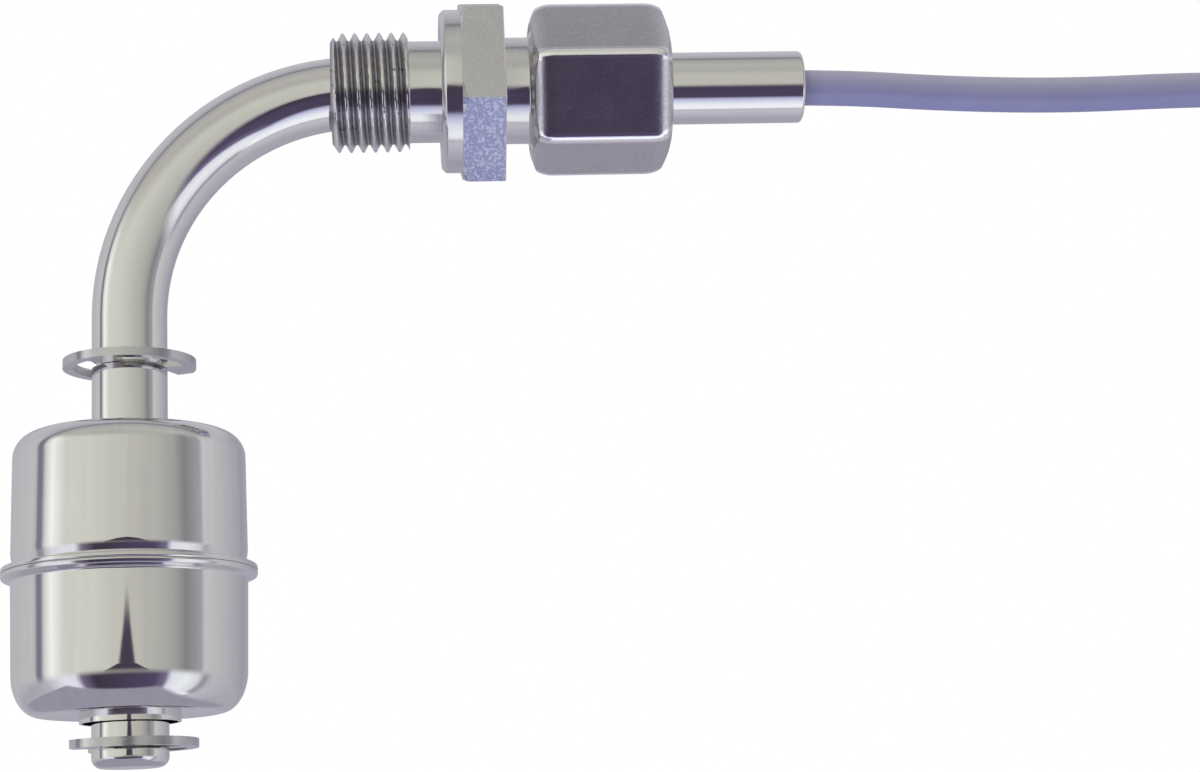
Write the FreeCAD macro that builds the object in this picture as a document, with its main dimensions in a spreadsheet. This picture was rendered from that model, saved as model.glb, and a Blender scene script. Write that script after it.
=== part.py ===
import FreeCAD, Part

import math
import os

import Sketcher
from FreeCAD import Placement, Rotation, Vector

# Side-mounted float level switch, millimetres.
# X runs along the screwed fitting towards the cable, Z is up, and the bent stem hangs down at -X.
# The origin lies on the fitting's axis where the process thread ends at its relief groove.

DIMENSIONS = [
    # stem tube
    ("tube_dia", 8.0),
    ("tube_wall", 1.0),
    ("bend_radius", 25.0),
    ("stem_reach", 34.1),          # sealing face to the axis of the hanging stem
    ("stem_drop", 71.4),           # fitting axis to the cut end of the tube
    ("stub_length", 40.4),         # sealing face to the cable end of the tube
    ("stub_lip", 0.4),
    # welded end plug
    ("plug_cap", 1.6),
    ("plug_spigot", 3.0),
    ("plug_round", 1.1),
    # clearances
    ("fit_gap", 0.03),             # radial play of pushed-in pieces
    ("thread_gap", 0.05),          # flank play drawn between plain thread cylinders
    # stop clips
    ("groove_dia", 7.0),
    ("groove_play", 0.1),
    ("clip_dia", 14.1),
    ("clip_thickness", 0.9),
    ("clip_window_dia", 11.8),
    ("clip_mouth", 5.84),
    ("clip_leg_reach", 5.2),
    ("clip_prong_angle", 32.0),
    ("clip_tip_angle", 16.0),
    ("upper_clip_drop", 30.2),
    ("upper_clip_turn", 65.0),
    ("lower_clip_drop", 70.6),
    ("lower_clip_turn", 173.0),
    # float
    ("float_dia", 24.62),          # at the weld seam
    ("float_end_dia", 24.3),
    ("float_height", 29.6),
    ("float_upper_round", 2.45),
    ("float_lower_round", 2.85),
    ("float_end_land", 0.1),       # flat left between an end's round and its dish
    ("float_drop", 52.7),          # fitting axis to the weld seam
    ("shell_wall", 0.5),
    ("dish_depth", 0.35),
    ("seam_reach", 1.06),          # how far the welded lip stands out from the wall
    ("seam_lip", 0.58),            # thickness of one shell's lip at its rim
    ("seam_draft", 0.1),
    ("seam_round", 0.4),
    ("seam_flare", 0.3),           # extra thickness where the lip leaves the wall
    ("flare_round", 0.25),
    ("neck_dia", 10.5),
    ("neck_wall", 0.3),
    ("neck_reach", 0.85),
    # magnet inside the float
    ("magnet_wall", 3.72),
    ("magnet_height", 8.0),
    ("magnet_lift", 4.0),          # magnet centre above the seam
    ("spacer_wall", 1.22),
    # screwed fitting
    ("thread_dia", 13.157),        # G 1/4
    ("thread_length", 8.5),
    ("thread_lead", 0.65),         # free-end chamfer, along the axis
    ("thread_lead_depth", 0.95),
    ("relief_dia", 11.2),
    ("relief_length", 3.5),
    ("face_recess_dia", 14.6),
    ("face_recess", 0.3),
    ("collar_dia", 18.0),
    ("collar_length", 2.2),
    ("collar_edge", 0.48),
    ("hex_width", 19.0),
    ("hex_length", 4.7),
    ("hex_face_rise", 0.5),        # end face circle beyond the flats
    ("hex_bevel", 0.68),
    ("hex_turn", 22.0),
    ("waist_dia", 11.76),
    ("waist_length", 2.8),
    ("nut_thread_dia", 14.0),
    ("nut_thread_length", 7.2),
    ("nut_thread_lead", 0.6),
    ("body_bore", 8.5),
    ("cone_mouth", 9.7),
    ("cone_angle", 24.0),
    # cutting ring
    ("ring_front", 2.8),
    ("ring_collar_dia", 11.2),
    ("ring_collar", 1.8),
    ("ring_tail", 1.1),
    # union nut
    ("nut_width", 16.7),
    ("nut_length", 15.44),
    ("nut_start", 2.93),           # hexagon to nut
    ("nut_turn", 53.0),
    ("nut_edge_round", 0.9),
    ("nut_slope", 1.5),            # sloped end of the hexagon, along and across
    ("nut_face_dia", 14.0),
    ("nut_bevel_dia", 16.8),
    ("nut_bevel", 0.5),
    ("nut_bore", 8.3),
    # reed switch in the stem
    ("reed_drop", 42.4),           # fitting axis to the reed contacts
    ("reed_offset", -1.0),
    ("glass_length", 14.0),
    ("glass_dia", 2.2),
    ("glass_wall", 0.25),
    ("glass_seal", 1.6),
    ("glass_cone", 0.6),           # height and depth of the drawn-in ends
    ("lead_dia", 0.5),
    ("lead_length", 3.2),
    ("blade_width", 1.0),
    ("blade_thickness", 0.2),
    ("blade_overlap", 1.2),
    ("blade_gap", 0.1),
    ("sleeve_wall", 0.35),
    ("sleeve_length", 16.0),
    # cores and cable
    ("core_dia", 1.3),
    ("core_offset", 1.25),
    ("splice_wall", 0.2),
    ("splice_length", 5.0),
    ("splice_overlap", 2.0),       # sleeve that lies on the bare lead
    ("return_rise", 2.2),          # bare return lead above its turn
    ("cable_dia", 4.0),
    ("jacket_inside", 10.4),       # jacket that lies inside the tube
    ("potting_length", 5.0),
    ("potting_recess", 0.5),
    ("potting_play", 0.05),
    # put-away coil
    ("coil_turn_radius", 22.0),
    ("coil_width", 12.0),
    ("coil_depth", 8.0),
    ("coil_round", 1.5),
    ("tie_width", 3.6),
    ("tie_thickness", 1.0),
    ("tie_head", 2.2),
    ("tail_core_length", 9.0),
    ("tail_core_offset", 0.8),
    ("tinned_dia", 0.9),
    ("tinned_length", 6.0),
]

doc = FreeCAD.newDocument("float_level_switch")
sheet = doc.addObject("Spreadsheet::Sheet", "sizes")
for row, (alias, number) in enumerate(DIMENSIONS, start=1):
    sheet.set(f"A{row}", alias)
    sheet.set(f"B{row}", str(number))
    sheet.setAlias(f"B{row}", alias)
doc.recompute()


class Size:
    """A length or angle: its number, and the sheet expression that gives it."""

    def __init__(self, number, text):
        self.number = float(number)
        self.text = text

    def _join(self, other, sign, number, flip=False):
        if not isinstance(other, Size):
            other = Size(other, f"{float(other):.10g}")
        first, second = (other, self) if flip else (self, other)
        return Size(number(first.number, second.number), f"({first.text} {sign} {second.text})")

    def __add__(self, other):
        return self._join(other, "+", lambda a, b: a + b)

    def __radd__(self, other):
        return self._join(other, "+", lambda a, b: a + b, True)

    def __sub__(self, other):
        return self._join(other, "-", lambda a, b: a - b)

    def __rsub__(self, other):
        return self._join(other, "-", lambda a, b: a - b, True)

    def __mul__(self, other):
        return self._join(other, "*", lambda a, b: a * b)

    def __rmul__(self, other):
        return self._join(other, "*", lambda a, b: a * b, True)

    def __truediv__(self, other):
        return self._join(other, "/", lambda a, b: a / b)

    def __neg__(self):
        return Size(-self.number, f"(0 - {self.text})")


def named(alias):
    return Size(sheet.get(alias), f"sizes.{alias}")


def tangent(angle):
    return Size(math.tan(math.radians(angle.number)), f"tan({angle.text} * 1 deg)")


def bind(item, path, size):
    """Sets one property of a document object from the sheet."""
    item.setExpression(path, size.text)


ZERO = Size(0.0, "0")
PLACE_SLACK = 1e-4      # how exactly an edge must lie where it is looked for
AXIS_PLANE = {"X": "XZ_Plane", "Z": "XZ_Plane"}

# ---- places that several pieces share -----------------------------------------------------------
tube_radius = named("tube_dia") / 2
bore_radius = tube_radius - named("tube_wall")
seal_x = named("relief_length")
stem_x = seal_x - named("stem_reach")
stub_x = seal_x + named("stub_length")
bend_radius = named("bend_radius")
hex_start = seal_x + named("collar_length")
hex_end = hex_start + named("hex_length")
body_end = hex_end + named("waist_length") + named("nut_thread_length")
nut_start = hex_end + named("nut_start")
nut_end = nut_start + named("nut_length")
clip_half = named("clip_thickness") / 2
float_top = named("float_height") / 2 - named("float_drop")
float_bottom = -named("float_height") / 2 - named("float_drop")
neck_top = float_top + named("neck_reach")
neck_bottom = float_bottom - named("neck_reach")
neck_radius = named("neck_dia") / 2


# ---- helpers ------------------------------------------------------------------------------------
def plane_of(body, role):
    return [item for item in body.Origin.OriginFeatures if item.Role == role][0]


def new_body(label):
    body = doc.addObject("PartDesign::Body", label)
    body.Label = label
    return body


def new_sketch(body, name, role):
    sketch = body.newObject("Sketcher::SketchObject", name)
    sketch.AttachmentSupport = (plane_of(body, role), [""])
    sketch.MapMode = "FlatFace"
    return sketch


def pin_point(sketch, edge, end, corner):
    """Fixes one end of a sketch edge at its two sheet-driven coordinates."""
    for kind, size in zip(("DistanceX", "DistanceY"), corner):
        index = sketch.addConstraint(Sketcher.Constraint(kind, -1, 1, edge, end, size.number))
        sketch.setExpression(f"Constraints[{index}]", size.text)


def closed_outline(sketch, corners):
    """Draws a closed polygon whose corners are pairs of sizes."""
    points = [Vector(x.number, y.number, 0) for x, y in corners]
    count = len(points)
    first = sketch.GeometryCount
    for here in range(count):
        sketch.addGeometry(Part.LineSegment(points[here], points[(here + 1) % count]), False)
    for here in range(count):
        following = first + (here + 1) % count
        sketch.addConstraint(Sketcher.Constraint("Coincident", first + here, 2, following, 1))
        pin_point(sketch, first + here, 1, corners[here])


def circle(sketch, centre, radius):
    middle = Vector(centre[0].number, centre[1].number, 0)
    edge = sketch.addGeometry(Part.Circle(middle, Vector(0, 0, 1), radius.number), False)
    pin_point(sketch, edge, 3, centre)
    index = sketch.addConstraint(Sketcher.Constraint("Radius", edge, radius.number))
    sketch.setExpression(f"Constraints[{index}]", radius.text)


def turned(body, name, axis, corners, kind="PartDesign::Revolution"):
    """Turns a closed outline about the body's X or Z axis. Corners are (along axis, radius)."""
    sketch = new_sketch(body, f"{name}_outline", AXIS_PLANE[axis])
    pairs = corners if axis == "X" else [(radius, along) for along, radius in corners]
    closed_outline(sketch, pairs)
    feature = body.newObject(kind, name)
    feature.Profile = sketch
    feature.ReferenceAxis = (sketch, ["H_Axis" if axis == "X" else "V_Axis"])
    feature.Angle = 360.0
    doc.recompute()
    return feature


def turned_body(label, axis, corners):
    body = new_body(label)
    turned(body, f"{label}_turned", axis, corners)
    return body


def hang_on_stem(item):
    """Moves a piece that is drawn about the Z axis onto the hanging stem."""
    bind(item, "Placement.Base.x", stem_x)


def rings(shape, radius, along, axis):
    """Names the circular edges of a radius at a place along the X or Z axis."""
    place = 0 if axis == "X" else 2
    found = []
    for index, edge in enumerate(shape.Edges, start=1):
        curve = edge.Curve
        if not isinstance(curve, Part.Circle) or abs(curve.Radius - radius.number) > PLACE_SLACK:
            continue
        if abs(curve.Center[place] - along.number) < PLACE_SLACK:
            found.append(f"Edge{index}")
    return found


def round_rings(body, name, radius, edges):
    """Rounds turned edges, each given as (radius, along, axis)."""
    base = body.Tip
    names = []
    for edge in edges:
        names += rings(base.Shape, *edge)
    fillet = body.newObject("PartDesign::Fillet", name)
    fillet.Base = (base, names)
    bind(fillet, "Radius", radius)
    doc.recompute()
    return fillet


def cylinder(name, radius, height, base, angle=None):
    """A Part cylinder along Z whose foot is at a sheet-driven place."""
    item = doc.addObject("Part::Cylinder", name)
    bind(item, "Radius", radius)
    bind(item, "Height", height)
    if angle is not None:
        bind(item, "Angle", angle)
    for letter, size in zip("xyz", base):
        bind(item, f"Placement.Base.{letter}", size)
    return item


def box(name, length, width, height, base):
    item = doc.addObject("Part::Box", name)
    for side, size in (("Length", length), ("Width", width), ("Height", height)):
        bind(item, side, size)
    for letter, size in zip("xyz", base):
        bind(item, f"Placement.Base.{letter}", size)
    return item


def combined(kind, label, base, tools):
    """Joins or cuts Part solids into one labelled piece."""
    tool = tools[0]
    if len(tools) > 1:
        tool = doc.addObject("Part::MultiFuse", f"{label}_tools")
        tool.Shapes = tools
    item = doc.addObject(kind, label)
    item.Base = base
    item.Tool = tool
    item.Label = label
    return item


ARC_SHARE = 0.45      # part of the shorter run that an arc takes at each corner
VOLUME_SLACK = 0.01


def rounded_route(points):
    """Straight runs joined by tangent arcs, each as large as its two runs allow, and the arcs' radii."""
    edges = []
    radii = []
    here = points[0]
    for before, corner, after in zip(points, points[1:], points[2:]):
        into = (corner - before).normalize()
        out = (after - corner).normalize()
        run = min((corner - before).Length, (after - corner).Length)
        half_turn = into.getAngle(out) / 2
        cut = ARC_SHARE * run
        radius = cut / math.tan(half_turn)
        start = corner - into * cut
        end = corner + out * cut
        inward = (out - into).normalize()
        centre = corner + inward * (radius / math.cos(half_turn))
        middle = centre - inward * radius
        edges.append(Part.LineSegment(here, start).toShape())
        edges.append(Part.Arc(start, middle, end).toShape())
        radii.append(radius)
        here = end
    edges.append(Part.LineSegment(here, points[-1]).toShape())
    return Part.Wire(edges), radii


def tube_along(wire, radius):
    """A round solid of one section along a wire, checked against section times length."""
    first = wire.Edges[0]
    start = first.valueAt(first.FirstParameter)
    section = Part.Wire(Part.makeCircle(radius, start, first.tangentAt(first.FirstParameter)))
    solid = wire.makePipeShell([section], True, True)
    expected = math.pi * radius**2 * wire.Length
    if abs(solid.Volume - expected) > VOLUME_SLACK * expected:
        raise ValueError(f"tube volume {solid.Volume:.1f} is not {expected:.1f}")
    return solid


def placed_shape(label, shape):
    item = doc.addObject("Part::Feature", label)
    item.Label = label
    item.Shape = shape
    return item


# ---- stem tube and its welded end ---------------------------------------------------------------
def build_stem_tube():
    body = new_body("stem_tube")
    route = new_sketch(body, "stem_route", "XZ_Plane")
    bend_x = stem_x + bend_radius
    stub = (stub_x, ZERO)
    bend_start = (bend_x, ZERO)
    bend_end = (stem_x, -bend_radius)
    stem_end = (stem_x, -named("stem_drop"))
    corners = [Vector(x.number, z.number, 0) for x, z in (stub, bend_start, bend_end, stem_end)]
    radius = bend_radius.number
    arc = Part.ArcOfCircle(
        Part.Circle(Vector(bend_x.number, -radius, 0), Vector(0, 0, 1), radius), math.pi / 2, math.pi
    )
    route.addGeometry(Part.LineSegment(corners[0], corners[1]), False)
    route.addGeometry(arc, False)
    route.addGeometry(Part.LineSegment(corners[2], corners[3]), False)
    route.addConstraint(Sketcher.Constraint("Coincident", 0, 2, 1, 1))
    route.addConstraint(Sketcher.Constraint("Coincident", 1, 2, 2, 1))
    pin_point(route, 0, 1, stub)
    pin_point(route, 0, 2, bend_start)
    pin_point(route, 2, 1, bend_end)
    pin_point(route, 2, 2, stem_end)
    index = route.addConstraint(Sketcher.Constraint("Radius", 1, radius))
    route.setExpression(f"Constraints[{index}]", bend_radius.text)

    section = new_sketch(body, "tube_section", "YZ_Plane")
    bind(section, "AttachmentOffset.Base.z", stub_x)
    circle(section, (ZERO, ZERO), tube_radius)
    circle(section, (ZERO, ZERO), bore_radius)
    pipe = body.newObject("PartDesign::AdditivePipe", "bent_tube")
    pipe.Profile = section
    pipe.Spine = (route, [])
    doc.recompute()
    for which in ("upper", "lower"):
        middle = -named(f"{which}_clip_drop")
        half = clip_half + named("groove_play") / 2
        outside = tube_radius + named("tube_wall")
        cut = new_sketch(body, f"{which}_groove_outline", "XZ_Plane")
        groove_corners = [
            (stem_x + named("groove_dia") / 2, middle - half),
            (stem_x + outside, middle - half),
            (stem_x + outside, middle + half),
            (stem_x + named("groove_dia") / 2, middle + half),
        ]
        closed_outline(cut, groove_corners)
        axis = cut.addGeometry(
            Part.LineSegment(Vector(stem_x.number, 0, 0), Vector(stem_x.number, middle.number, 0)), True
        )
        pin_point(cut, axis, 1, (stem_x, ZERO))
        pin_point(cut, axis, 2, (stem_x, middle))
        before = body.Tip.Shape.Volume
        groove = body.newObject("PartDesign::Groove", f"{which}_groove")
        groove.Profile = cut
        groove.ReferenceAxis = (cut, ["Axis0"])
        groove.Angle = 360.0
        doc.recompute()
        if not groove.Shape.Volume < before:
            raise ValueError(f"{which}_groove cuts nothing")
    round_rings(body, "rolled_lip", named("stub_lip"), [(tube_radius, stub_x, "X")])


def build_end_plug():
    cut_end = -named("stem_drop")
    spigot = bore_radius - named("fit_gap")
    cap_bottom = cut_end - named("plug_cap")
    corners = [
        (cap_bottom, ZERO),
        (cap_bottom, tube_radius),
        (cut_end, tube_radius),
        (cut_end, spigot),
        (cut_end + named("plug_spigot"), spigot),
        (cut_end + named("plug_spigot"), ZERO),
    ]
    body = turned_body("stem_end_plug", "Z", corners)
    round_rings(body, "plug_corner", named("plug_round"), [(tube_radius, cap_bottom, "Z")])
    hang_on_stem(body)


# ---- stop clips ---------------------------------------------------------------------------------
def build_clip(which):
    """A stamped E-clip: a disc cut by its groove seat, two windows, the mouth and the leg ends."""
    label = f"{which}_stop_clip"
    drop = -named(f"{which}_clip_drop") - clip_half
    foot = drop - named("clip_thickness")
    deep = named("clip_thickness") * 3
    outer = named("clip_dia") / 2
    mouth = named("clip_mouth")
    blank = cylinder(f"{label}_blank", outer, named("clip_thickness"), (ZERO, ZERO, drop))
    seat = cylinder(f"{label}_seat", named("groove_dia") / 2 + named("fit_gap"), deep, (ZERO, ZERO, foot))
    slot = box(f"{label}_mouth", outer * 2, mouth, deep, (ZERO, -mouth / 2, foot))
    ends = box(f"{label}_leg_ends", outer, outer * 2, deep, (named("clip_leg_reach"), -outer, foot))
    half_mouth = Size(
        math.degrees(math.asin(mouth.number / named("groove_dia").number)),
        f"asin({mouth.text} / {named('groove_dia').text}) / 1 deg",
    )
    tip = half_mouth + named("clip_tip_angle")
    sweep = 180 - named("clip_prong_angle") / 2 - tip
    tools = [seat, slot, ends]
    for side, start in (("left", tip), ("right", 180 + named("clip_prong_angle") / 2)):
        window = cylinder(
            f"{label}_{side}_window", named("clip_window_dia") / 2, deep, (ZERO, ZERO, foot), sweep
        )
        window.Placement.Rotation = Rotation(Vector(0, 0, 1), start.number)
        bind(window, "Placement.Rotation.Angle", start)
        tools.append(window)
    clip = combined("Part::Cut", label, blank, tools)
    clip.Placement.Rotation = Rotation(Vector(0, 0, 1), named(f"{which}_clip_turn").number)
    bind(clip, "Placement.Rotation.Angle", named(f"{which}_clip_turn"))
    hang_on_stem(clip)
    doc.recompute()


# ---- float --------------------------------------------------------------------------------------
def build_float_shell(label, side, shoulder):
    """One deep-drawn half of the float, side 1 above the weld seam and -1 below it."""
    seam = -named("float_drop")
    wall = named("shell_wall")
    outer = named("float_dia") / 2
    end_outer = named("float_end_dia") / 2
    inner = outer - wall
    end_inner = end_outer - wall
    lip = outer + named("seam_reach")
    neck = neck_radius + named("fit_gap")

    def at(height):
        return seam + height if side > 0 else seam - height

    top = named("float_height") / 2
    dish = top - named("dish_depth")
    lip_side = named("seam_lip")
    flare = lip_side + named("seam_flare")
    lip_root = lip - named("seam_draft")
    end_flat = end_outer - shoulder - named("float_end_land")
    corners = [
        (at(ZERO), inner),
        (at(ZERO), lip),
        (at(lip_side), lip_root),
        (at(flare), outer),
        (at(top), end_outer),
        (at(top), end_flat),
        (at(dish), neck),
        (at(dish - wall), neck),
        (at(top - wall), end_flat),
        (at(top - wall), end_inner),
    ]
    body = turned_body(label, "Z", corners)
    round_rings(body, f"{label}_shoulder", shoulder, [(end_outer, at(top), "Z")])
    round_rings(body, f"{label}_inside", shoulder - wall, [(end_inner, at(top - wall), "Z")])
    round_rings(body, f"{label}_flare", named("flare_round"), [(outer, at(flare), "Z")])
    round_rings(body, f"{label}_lip", named("seam_round"), [(lip_root, at(lip_side), "Z")])
    hang_on_stem(body)


def build_float_inside():
    """Bore tube through the float, the ring magnet round it and the spacers that hold the magnet."""
    bore = neck_radius - named("neck_wall")
    seam = -named("float_drop")
    tube = [(neck_bottom, bore), (neck_bottom, neck_radius), (neck_top, neck_radius), (neck_top, bore)]
    hang_on_stem(turned_body("float_bore_tube", "Z", tube))
    seat = neck_radius + named("fit_gap")
    magnet_low = seam + named("magnet_lift") - named("magnet_height") / 2
    magnet_high = magnet_low + named("magnet_height")
    floor = float_bottom + named("dish_depth") + named("shell_wall")
    ceiling = float_top - named("dish_depth") - named("shell_wall")
    rings_round_tube = (
        ("float_magnet", magnet_low, magnet_high, seat + named("magnet_wall")),
        ("magnet_lower_spacer", floor, magnet_low, seat + named("spacer_wall")),
        ("magnet_upper_spacer", magnet_high, ceiling, seat + named("spacer_wall")),
    )
    for label, low, high, radius in rings_round_tube:
        hang_on_stem(turned_body(label, "Z", [(low, seat), (low, radius), (high, radius), (high, seat)]))


# ---- screwed fitting ----------------------------------------------------------------------------
def hexagon(body, name, start, length, width, turn):
    """A hexagonal prism along X with one corner turned by an angle from +Y."""
    prism = body.newObject("PartDesign::AdditivePrism", name)
    prism.Polygon = 6
    prism.AttachmentSupport = (plane_of(body, "YZ_Plane"), [""])
    prism.MapMode = "FlatFace"
    bind(prism, "Circumradius", width / Size(math.sqrt(3), "sqrt(3)"))
    bind(prism, "Height", length)
    bind(prism, "AttachmentOffset.Base.z", start)
    prism.AttachmentOffset.Rotation = Rotation(Vector(0, 0, 1), turn.number)
    bind(prism, "AttachmentOffset.Rotation.Angle", turn)
    doc.recompute()
    return prism


def edges_between(shape, low, high):
    """Names the edges whose two ends lie at the two given places along X."""
    found = []
    for index, edge in enumerate(shape.Edges, start=1):
        ends = sorted(vertex.Point.x for vertex in edge.Vertexes)
        if abs(ends[0] - low.number) < PLACE_SLACK and abs(ends[-1] - high.number) < PLACE_SLACK:
            found.append(f"Edge{index}")
    return found


def cut_turned(body, name, corners):
    before = body.Tip.Shape.Volume
    groove = turned(body, name, "X", corners, "PartDesign::Groove")
    if not groove.Shape.Volume < before:
        raise ValueError(f"{name} cuts nothing")


def build_fitting_body():
    """Process thread, relief, sealing collar, hexagon, waist and nut thread, with a bore and a cone."""
    body = new_body("fitting_body")
    hexagon(body, "fitting_hexagon", hex_start, named("hex_length"), named("hex_width"), named("hex_turn"))
    corner = named("hex_width") / Size(math.sqrt(3), "sqrt(3)")
    face = named("hex_width") / 2 + named("hex_face_rise")
    bevel = named("hex_bevel")
    clear = corner + bevel
    bevel_end = hex_start + bevel
    bevel_outline = [(hex_start, face), (hex_start, clear), (bevel_end, clear), (bevel_end, corner)]
    cut_turned(body, "hexagon_bevel", bevel_outline)

    thread = named("thread_dia") / 2
    lead = named("thread_lead")
    free_end = -named("thread_length")
    relief = named("relief_dia") / 2
    recess = named("face_recess_dia") / 2
    collar = named("collar_dia") / 2
    edge = named("collar_edge")
    waist = named("waist_dia") / 2
    nut_thread = named("nut_thread_dia") / 2
    bore = named("body_bore") / 2
    waist_end = hex_end + named("waist_length")
    cone_slope = tangent(named("cone_angle") / 2)
    mouth = named("cone_mouth") / 2
    cone_depth = (mouth - bore) / cone_slope
    nut_lead = named("nut_thread_lead")
    outline = [
        (free_end, bore),
        (free_end, thread - named("thread_lead_depth")),
        (free_end + lead, thread),
        (ZERO, thread),
        (ZERO, relief),
        (seal_x + named("face_recess"), relief),
        (seal_x + named("face_recess"), recess),
        (seal_x, recess),
        (seal_x, collar - edge),
        (seal_x + edge, collar),
        (hex_start, collar),
        (hex_end, collar),
        (hex_end, waist),
        (waist_end, waist),
        (waist_end + nut_lead, nut_thread),
        (body_end - nut_lead, nut_thread),
        (body_end, nut_thread - nut_lead),
        (body_end, mouth),
        (body_end - cone_depth, bore),
    ]
    turned(body, "fitting_turned", "X", outline)
    drill = free_end - lead
    hole = [(drill, ZERO), (drill, bore), (body_end, bore), (body_end, ZERO)]
    cut_turned(body, "fitting_bore", hole)


def ring_places():
    front = body_end - named("ring_front")
    collar_start = body_end + named("thread_gap")
    collar_end = collar_start + named("ring_collar")
    return front, collar_start, collar_end


def build_cutting_ring():
    """Wedge ring between the body's cone and the nut's 45 degree shoulder."""
    front, collar_start, collar_end = ring_places()
    inner = tube_radius + named("fit_gap")
    slope = tangent(named("cone_angle") / 2)
    nose = named("cone_mouth") / 2 - named("fit_gap") - named("ring_front") * slope
    back = named("cone_mouth") / 2 - named("fit_gap")
    collar = named("ring_collar_dia") / 2
    tail = named("ring_tail")
    outline = [
        (front, inner),
        (front, nose),
        (body_end, back),
        (collar_start, collar),
        (collar_end, collar),
        (collar_end + tail, collar - tail),
        (collar_end + tail, inner),
    ]
    turned_body("cutting_ring", "X", outline)


def build_union_nut():
    """Hexagon nut with rounded bevels at both ends, threaded bore, 45 degree shoulder and tube bore."""
    body = new_body("union_nut")
    width = named("nut_width")
    prism = hexagon(body, "nut_hexagon", nut_start, named("nut_length"), width, named("nut_turn"))
    slope = named("nut_slope")
    end_edges = []
    for end in (nut_start, nut_end):
        end_edges += edges_between(prism.Shape, end, end)
    chamfer = body.newObject("PartDesign::Chamfer", "nut_end_slopes")
    chamfer.Base = (prism, end_edges)
    bind(chamfer, "Size", slope)
    doc.recompute()
    sloped = chamfer.Shape
    soft_edges = []
    for low, high in (
        (nut_start, nut_start + slope),
        (nut_start + slope, nut_start + slope),
        (nut_start + slope, nut_end - slope),
        (nut_end - slope, nut_end - slope),
        (nut_end - slope, nut_end),
    ):
        soft_edges += edges_between(sloped, low, high)
    fillet = body.newObject("PartDesign::Fillet", "nut_edge_rounds")
    fillet.Base = (chamfer, soft_edges)
    bind(fillet, "Radius", named("nut_edge_round"))
    doc.recompute()
    face = named("nut_face_dia") / 2
    knee = named("nut_bevel_dia") / 2
    clear = named("nut_width")
    bevel = named("nut_bevel")
    for name, end, inward in (("nut_front_bevel", nut_start, 1), ("nut_rear_bevel", nut_end, -1)):
        inside = end + bevel * inward
        cut_turned(body, name, [(end, face), (end, clear), (inside, clear), (inside, knee)])
    front, collar_start, collar_end = ring_places()
    thread = named("nut_thread_dia") / 2 + named("thread_gap")
    seat = named("ring_collar_dia") / 2 + named("thread_gap")
    bore = named("nut_bore") / 2
    shoulder_start = collar_end + named("thread_gap")
    lead = named("nut_thread_lead")
    hollow = [
        (nut_start - lead, ZERO),
        (nut_start - lead, thread + lead),
        (nut_start, thread + lead),
        (nut_start + lead, thread),
        (collar_start, thread),
        (collar_start + (thread - seat), seat),
        (shoulder_start, seat),
        (shoulder_start + (seat - bore), bore),
        (nut_end + lead, bore),
        (nut_end + lead, ZERO),
    ]
    cut_turned(body, "nut_bore_steps", hollow)


# ---- reed switch --------------------------------------------------------------------------------
def reed_places():
    middle = -named("reed_drop")
    half = named("glass_length") / 2
    return middle, middle - half, middle + half


def build_reed_glass():
    """Sealed glass tube whose ends close round the two leads."""
    middle, low, high = reed_places()
    outer = named("glass_dia") / 2
    inner = outer - named("glass_wall")
    lead = named("lead_dia") / 2 + named("fit_gap")
    seal = named("glass_seal")
    cone = named("glass_cone")
    outline = [
        (low, lead),
        (low, outer - cone),
        (low + cone, outer),
        (high - cone, outer),
        (high, outer - cone),
        (high, lead),
        (high - seal, lead),
        (high - seal, inner),
        (low + seal, inner),
        (low + seal, lead),
    ]
    body = turned_body("reed_glass", "Z", outline)
    hang_on_stem(body)
    bind(body, "Placement.Base.y", named("reed_offset"))


def build_reed_blade(label, side):
    """A round lead that is pressed flat inside the glass, side 1 from above and -1 from below."""
    middle, low, high = reed_places()
    lead = named("lead_length") + named("glass_seal")
    flat = named("glass_length") / 2 - named("glass_seal") + named("blade_overlap") / 2
    thin, wide = named("blade_thickness"), named("blade_width")
    offset = named("reed_offset")
    gap = named("blade_gap") / 2
    if side > 0:
        foot, flat_foot, shift = high - named("glass_seal"), middle - named("blade_overlap") / 2, gap
    else:
        foot, flat_foot, shift = low - named("lead_length"), low + named("glass_seal"), -gap - thin
    rod = cylinder(f"{label}_lead", named("lead_dia") / 2, lead, (stem_x, offset, foot))
    blade = box(f"{label}_flat", wide, thin, flat, (stem_x - wide / 2, offset + shift, flat_foot))
    combined("Part::Fuse", label, rod, [blade])


def sleeve_round_stem(label, low, high, inner, wall, offset):
    body = turned_body(label, "Z", [(low, inner), (low, inner + wall), (high, inner + wall), (high, inner)])
    hang_on_stem(body)
    bind(body, "Placement.Base.y", offset)


def build_reed_sleeves():
    """Insulating sleeve round the glass, and the short sleeve over the upper joint."""
    middle, low, high = reed_places()
    half = named("sleeve_length") / 2
    glass = named("glass_dia") / 2 + named("fit_gap")
    offset = named("reed_offset")
    sleeve_round_stem("reed_sleeve", middle - half, middle + half, glass, named("sleeve_wall"), offset)
    core = named("core_dia") / 2 + named("fit_gap")
    start = high + named("lead_length") - named("splice_overlap")
    end = start + named("splice_length")
    sleeve_round_stem("splice_sleeve", start, end, core, named("splice_wall"), offset)


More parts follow.
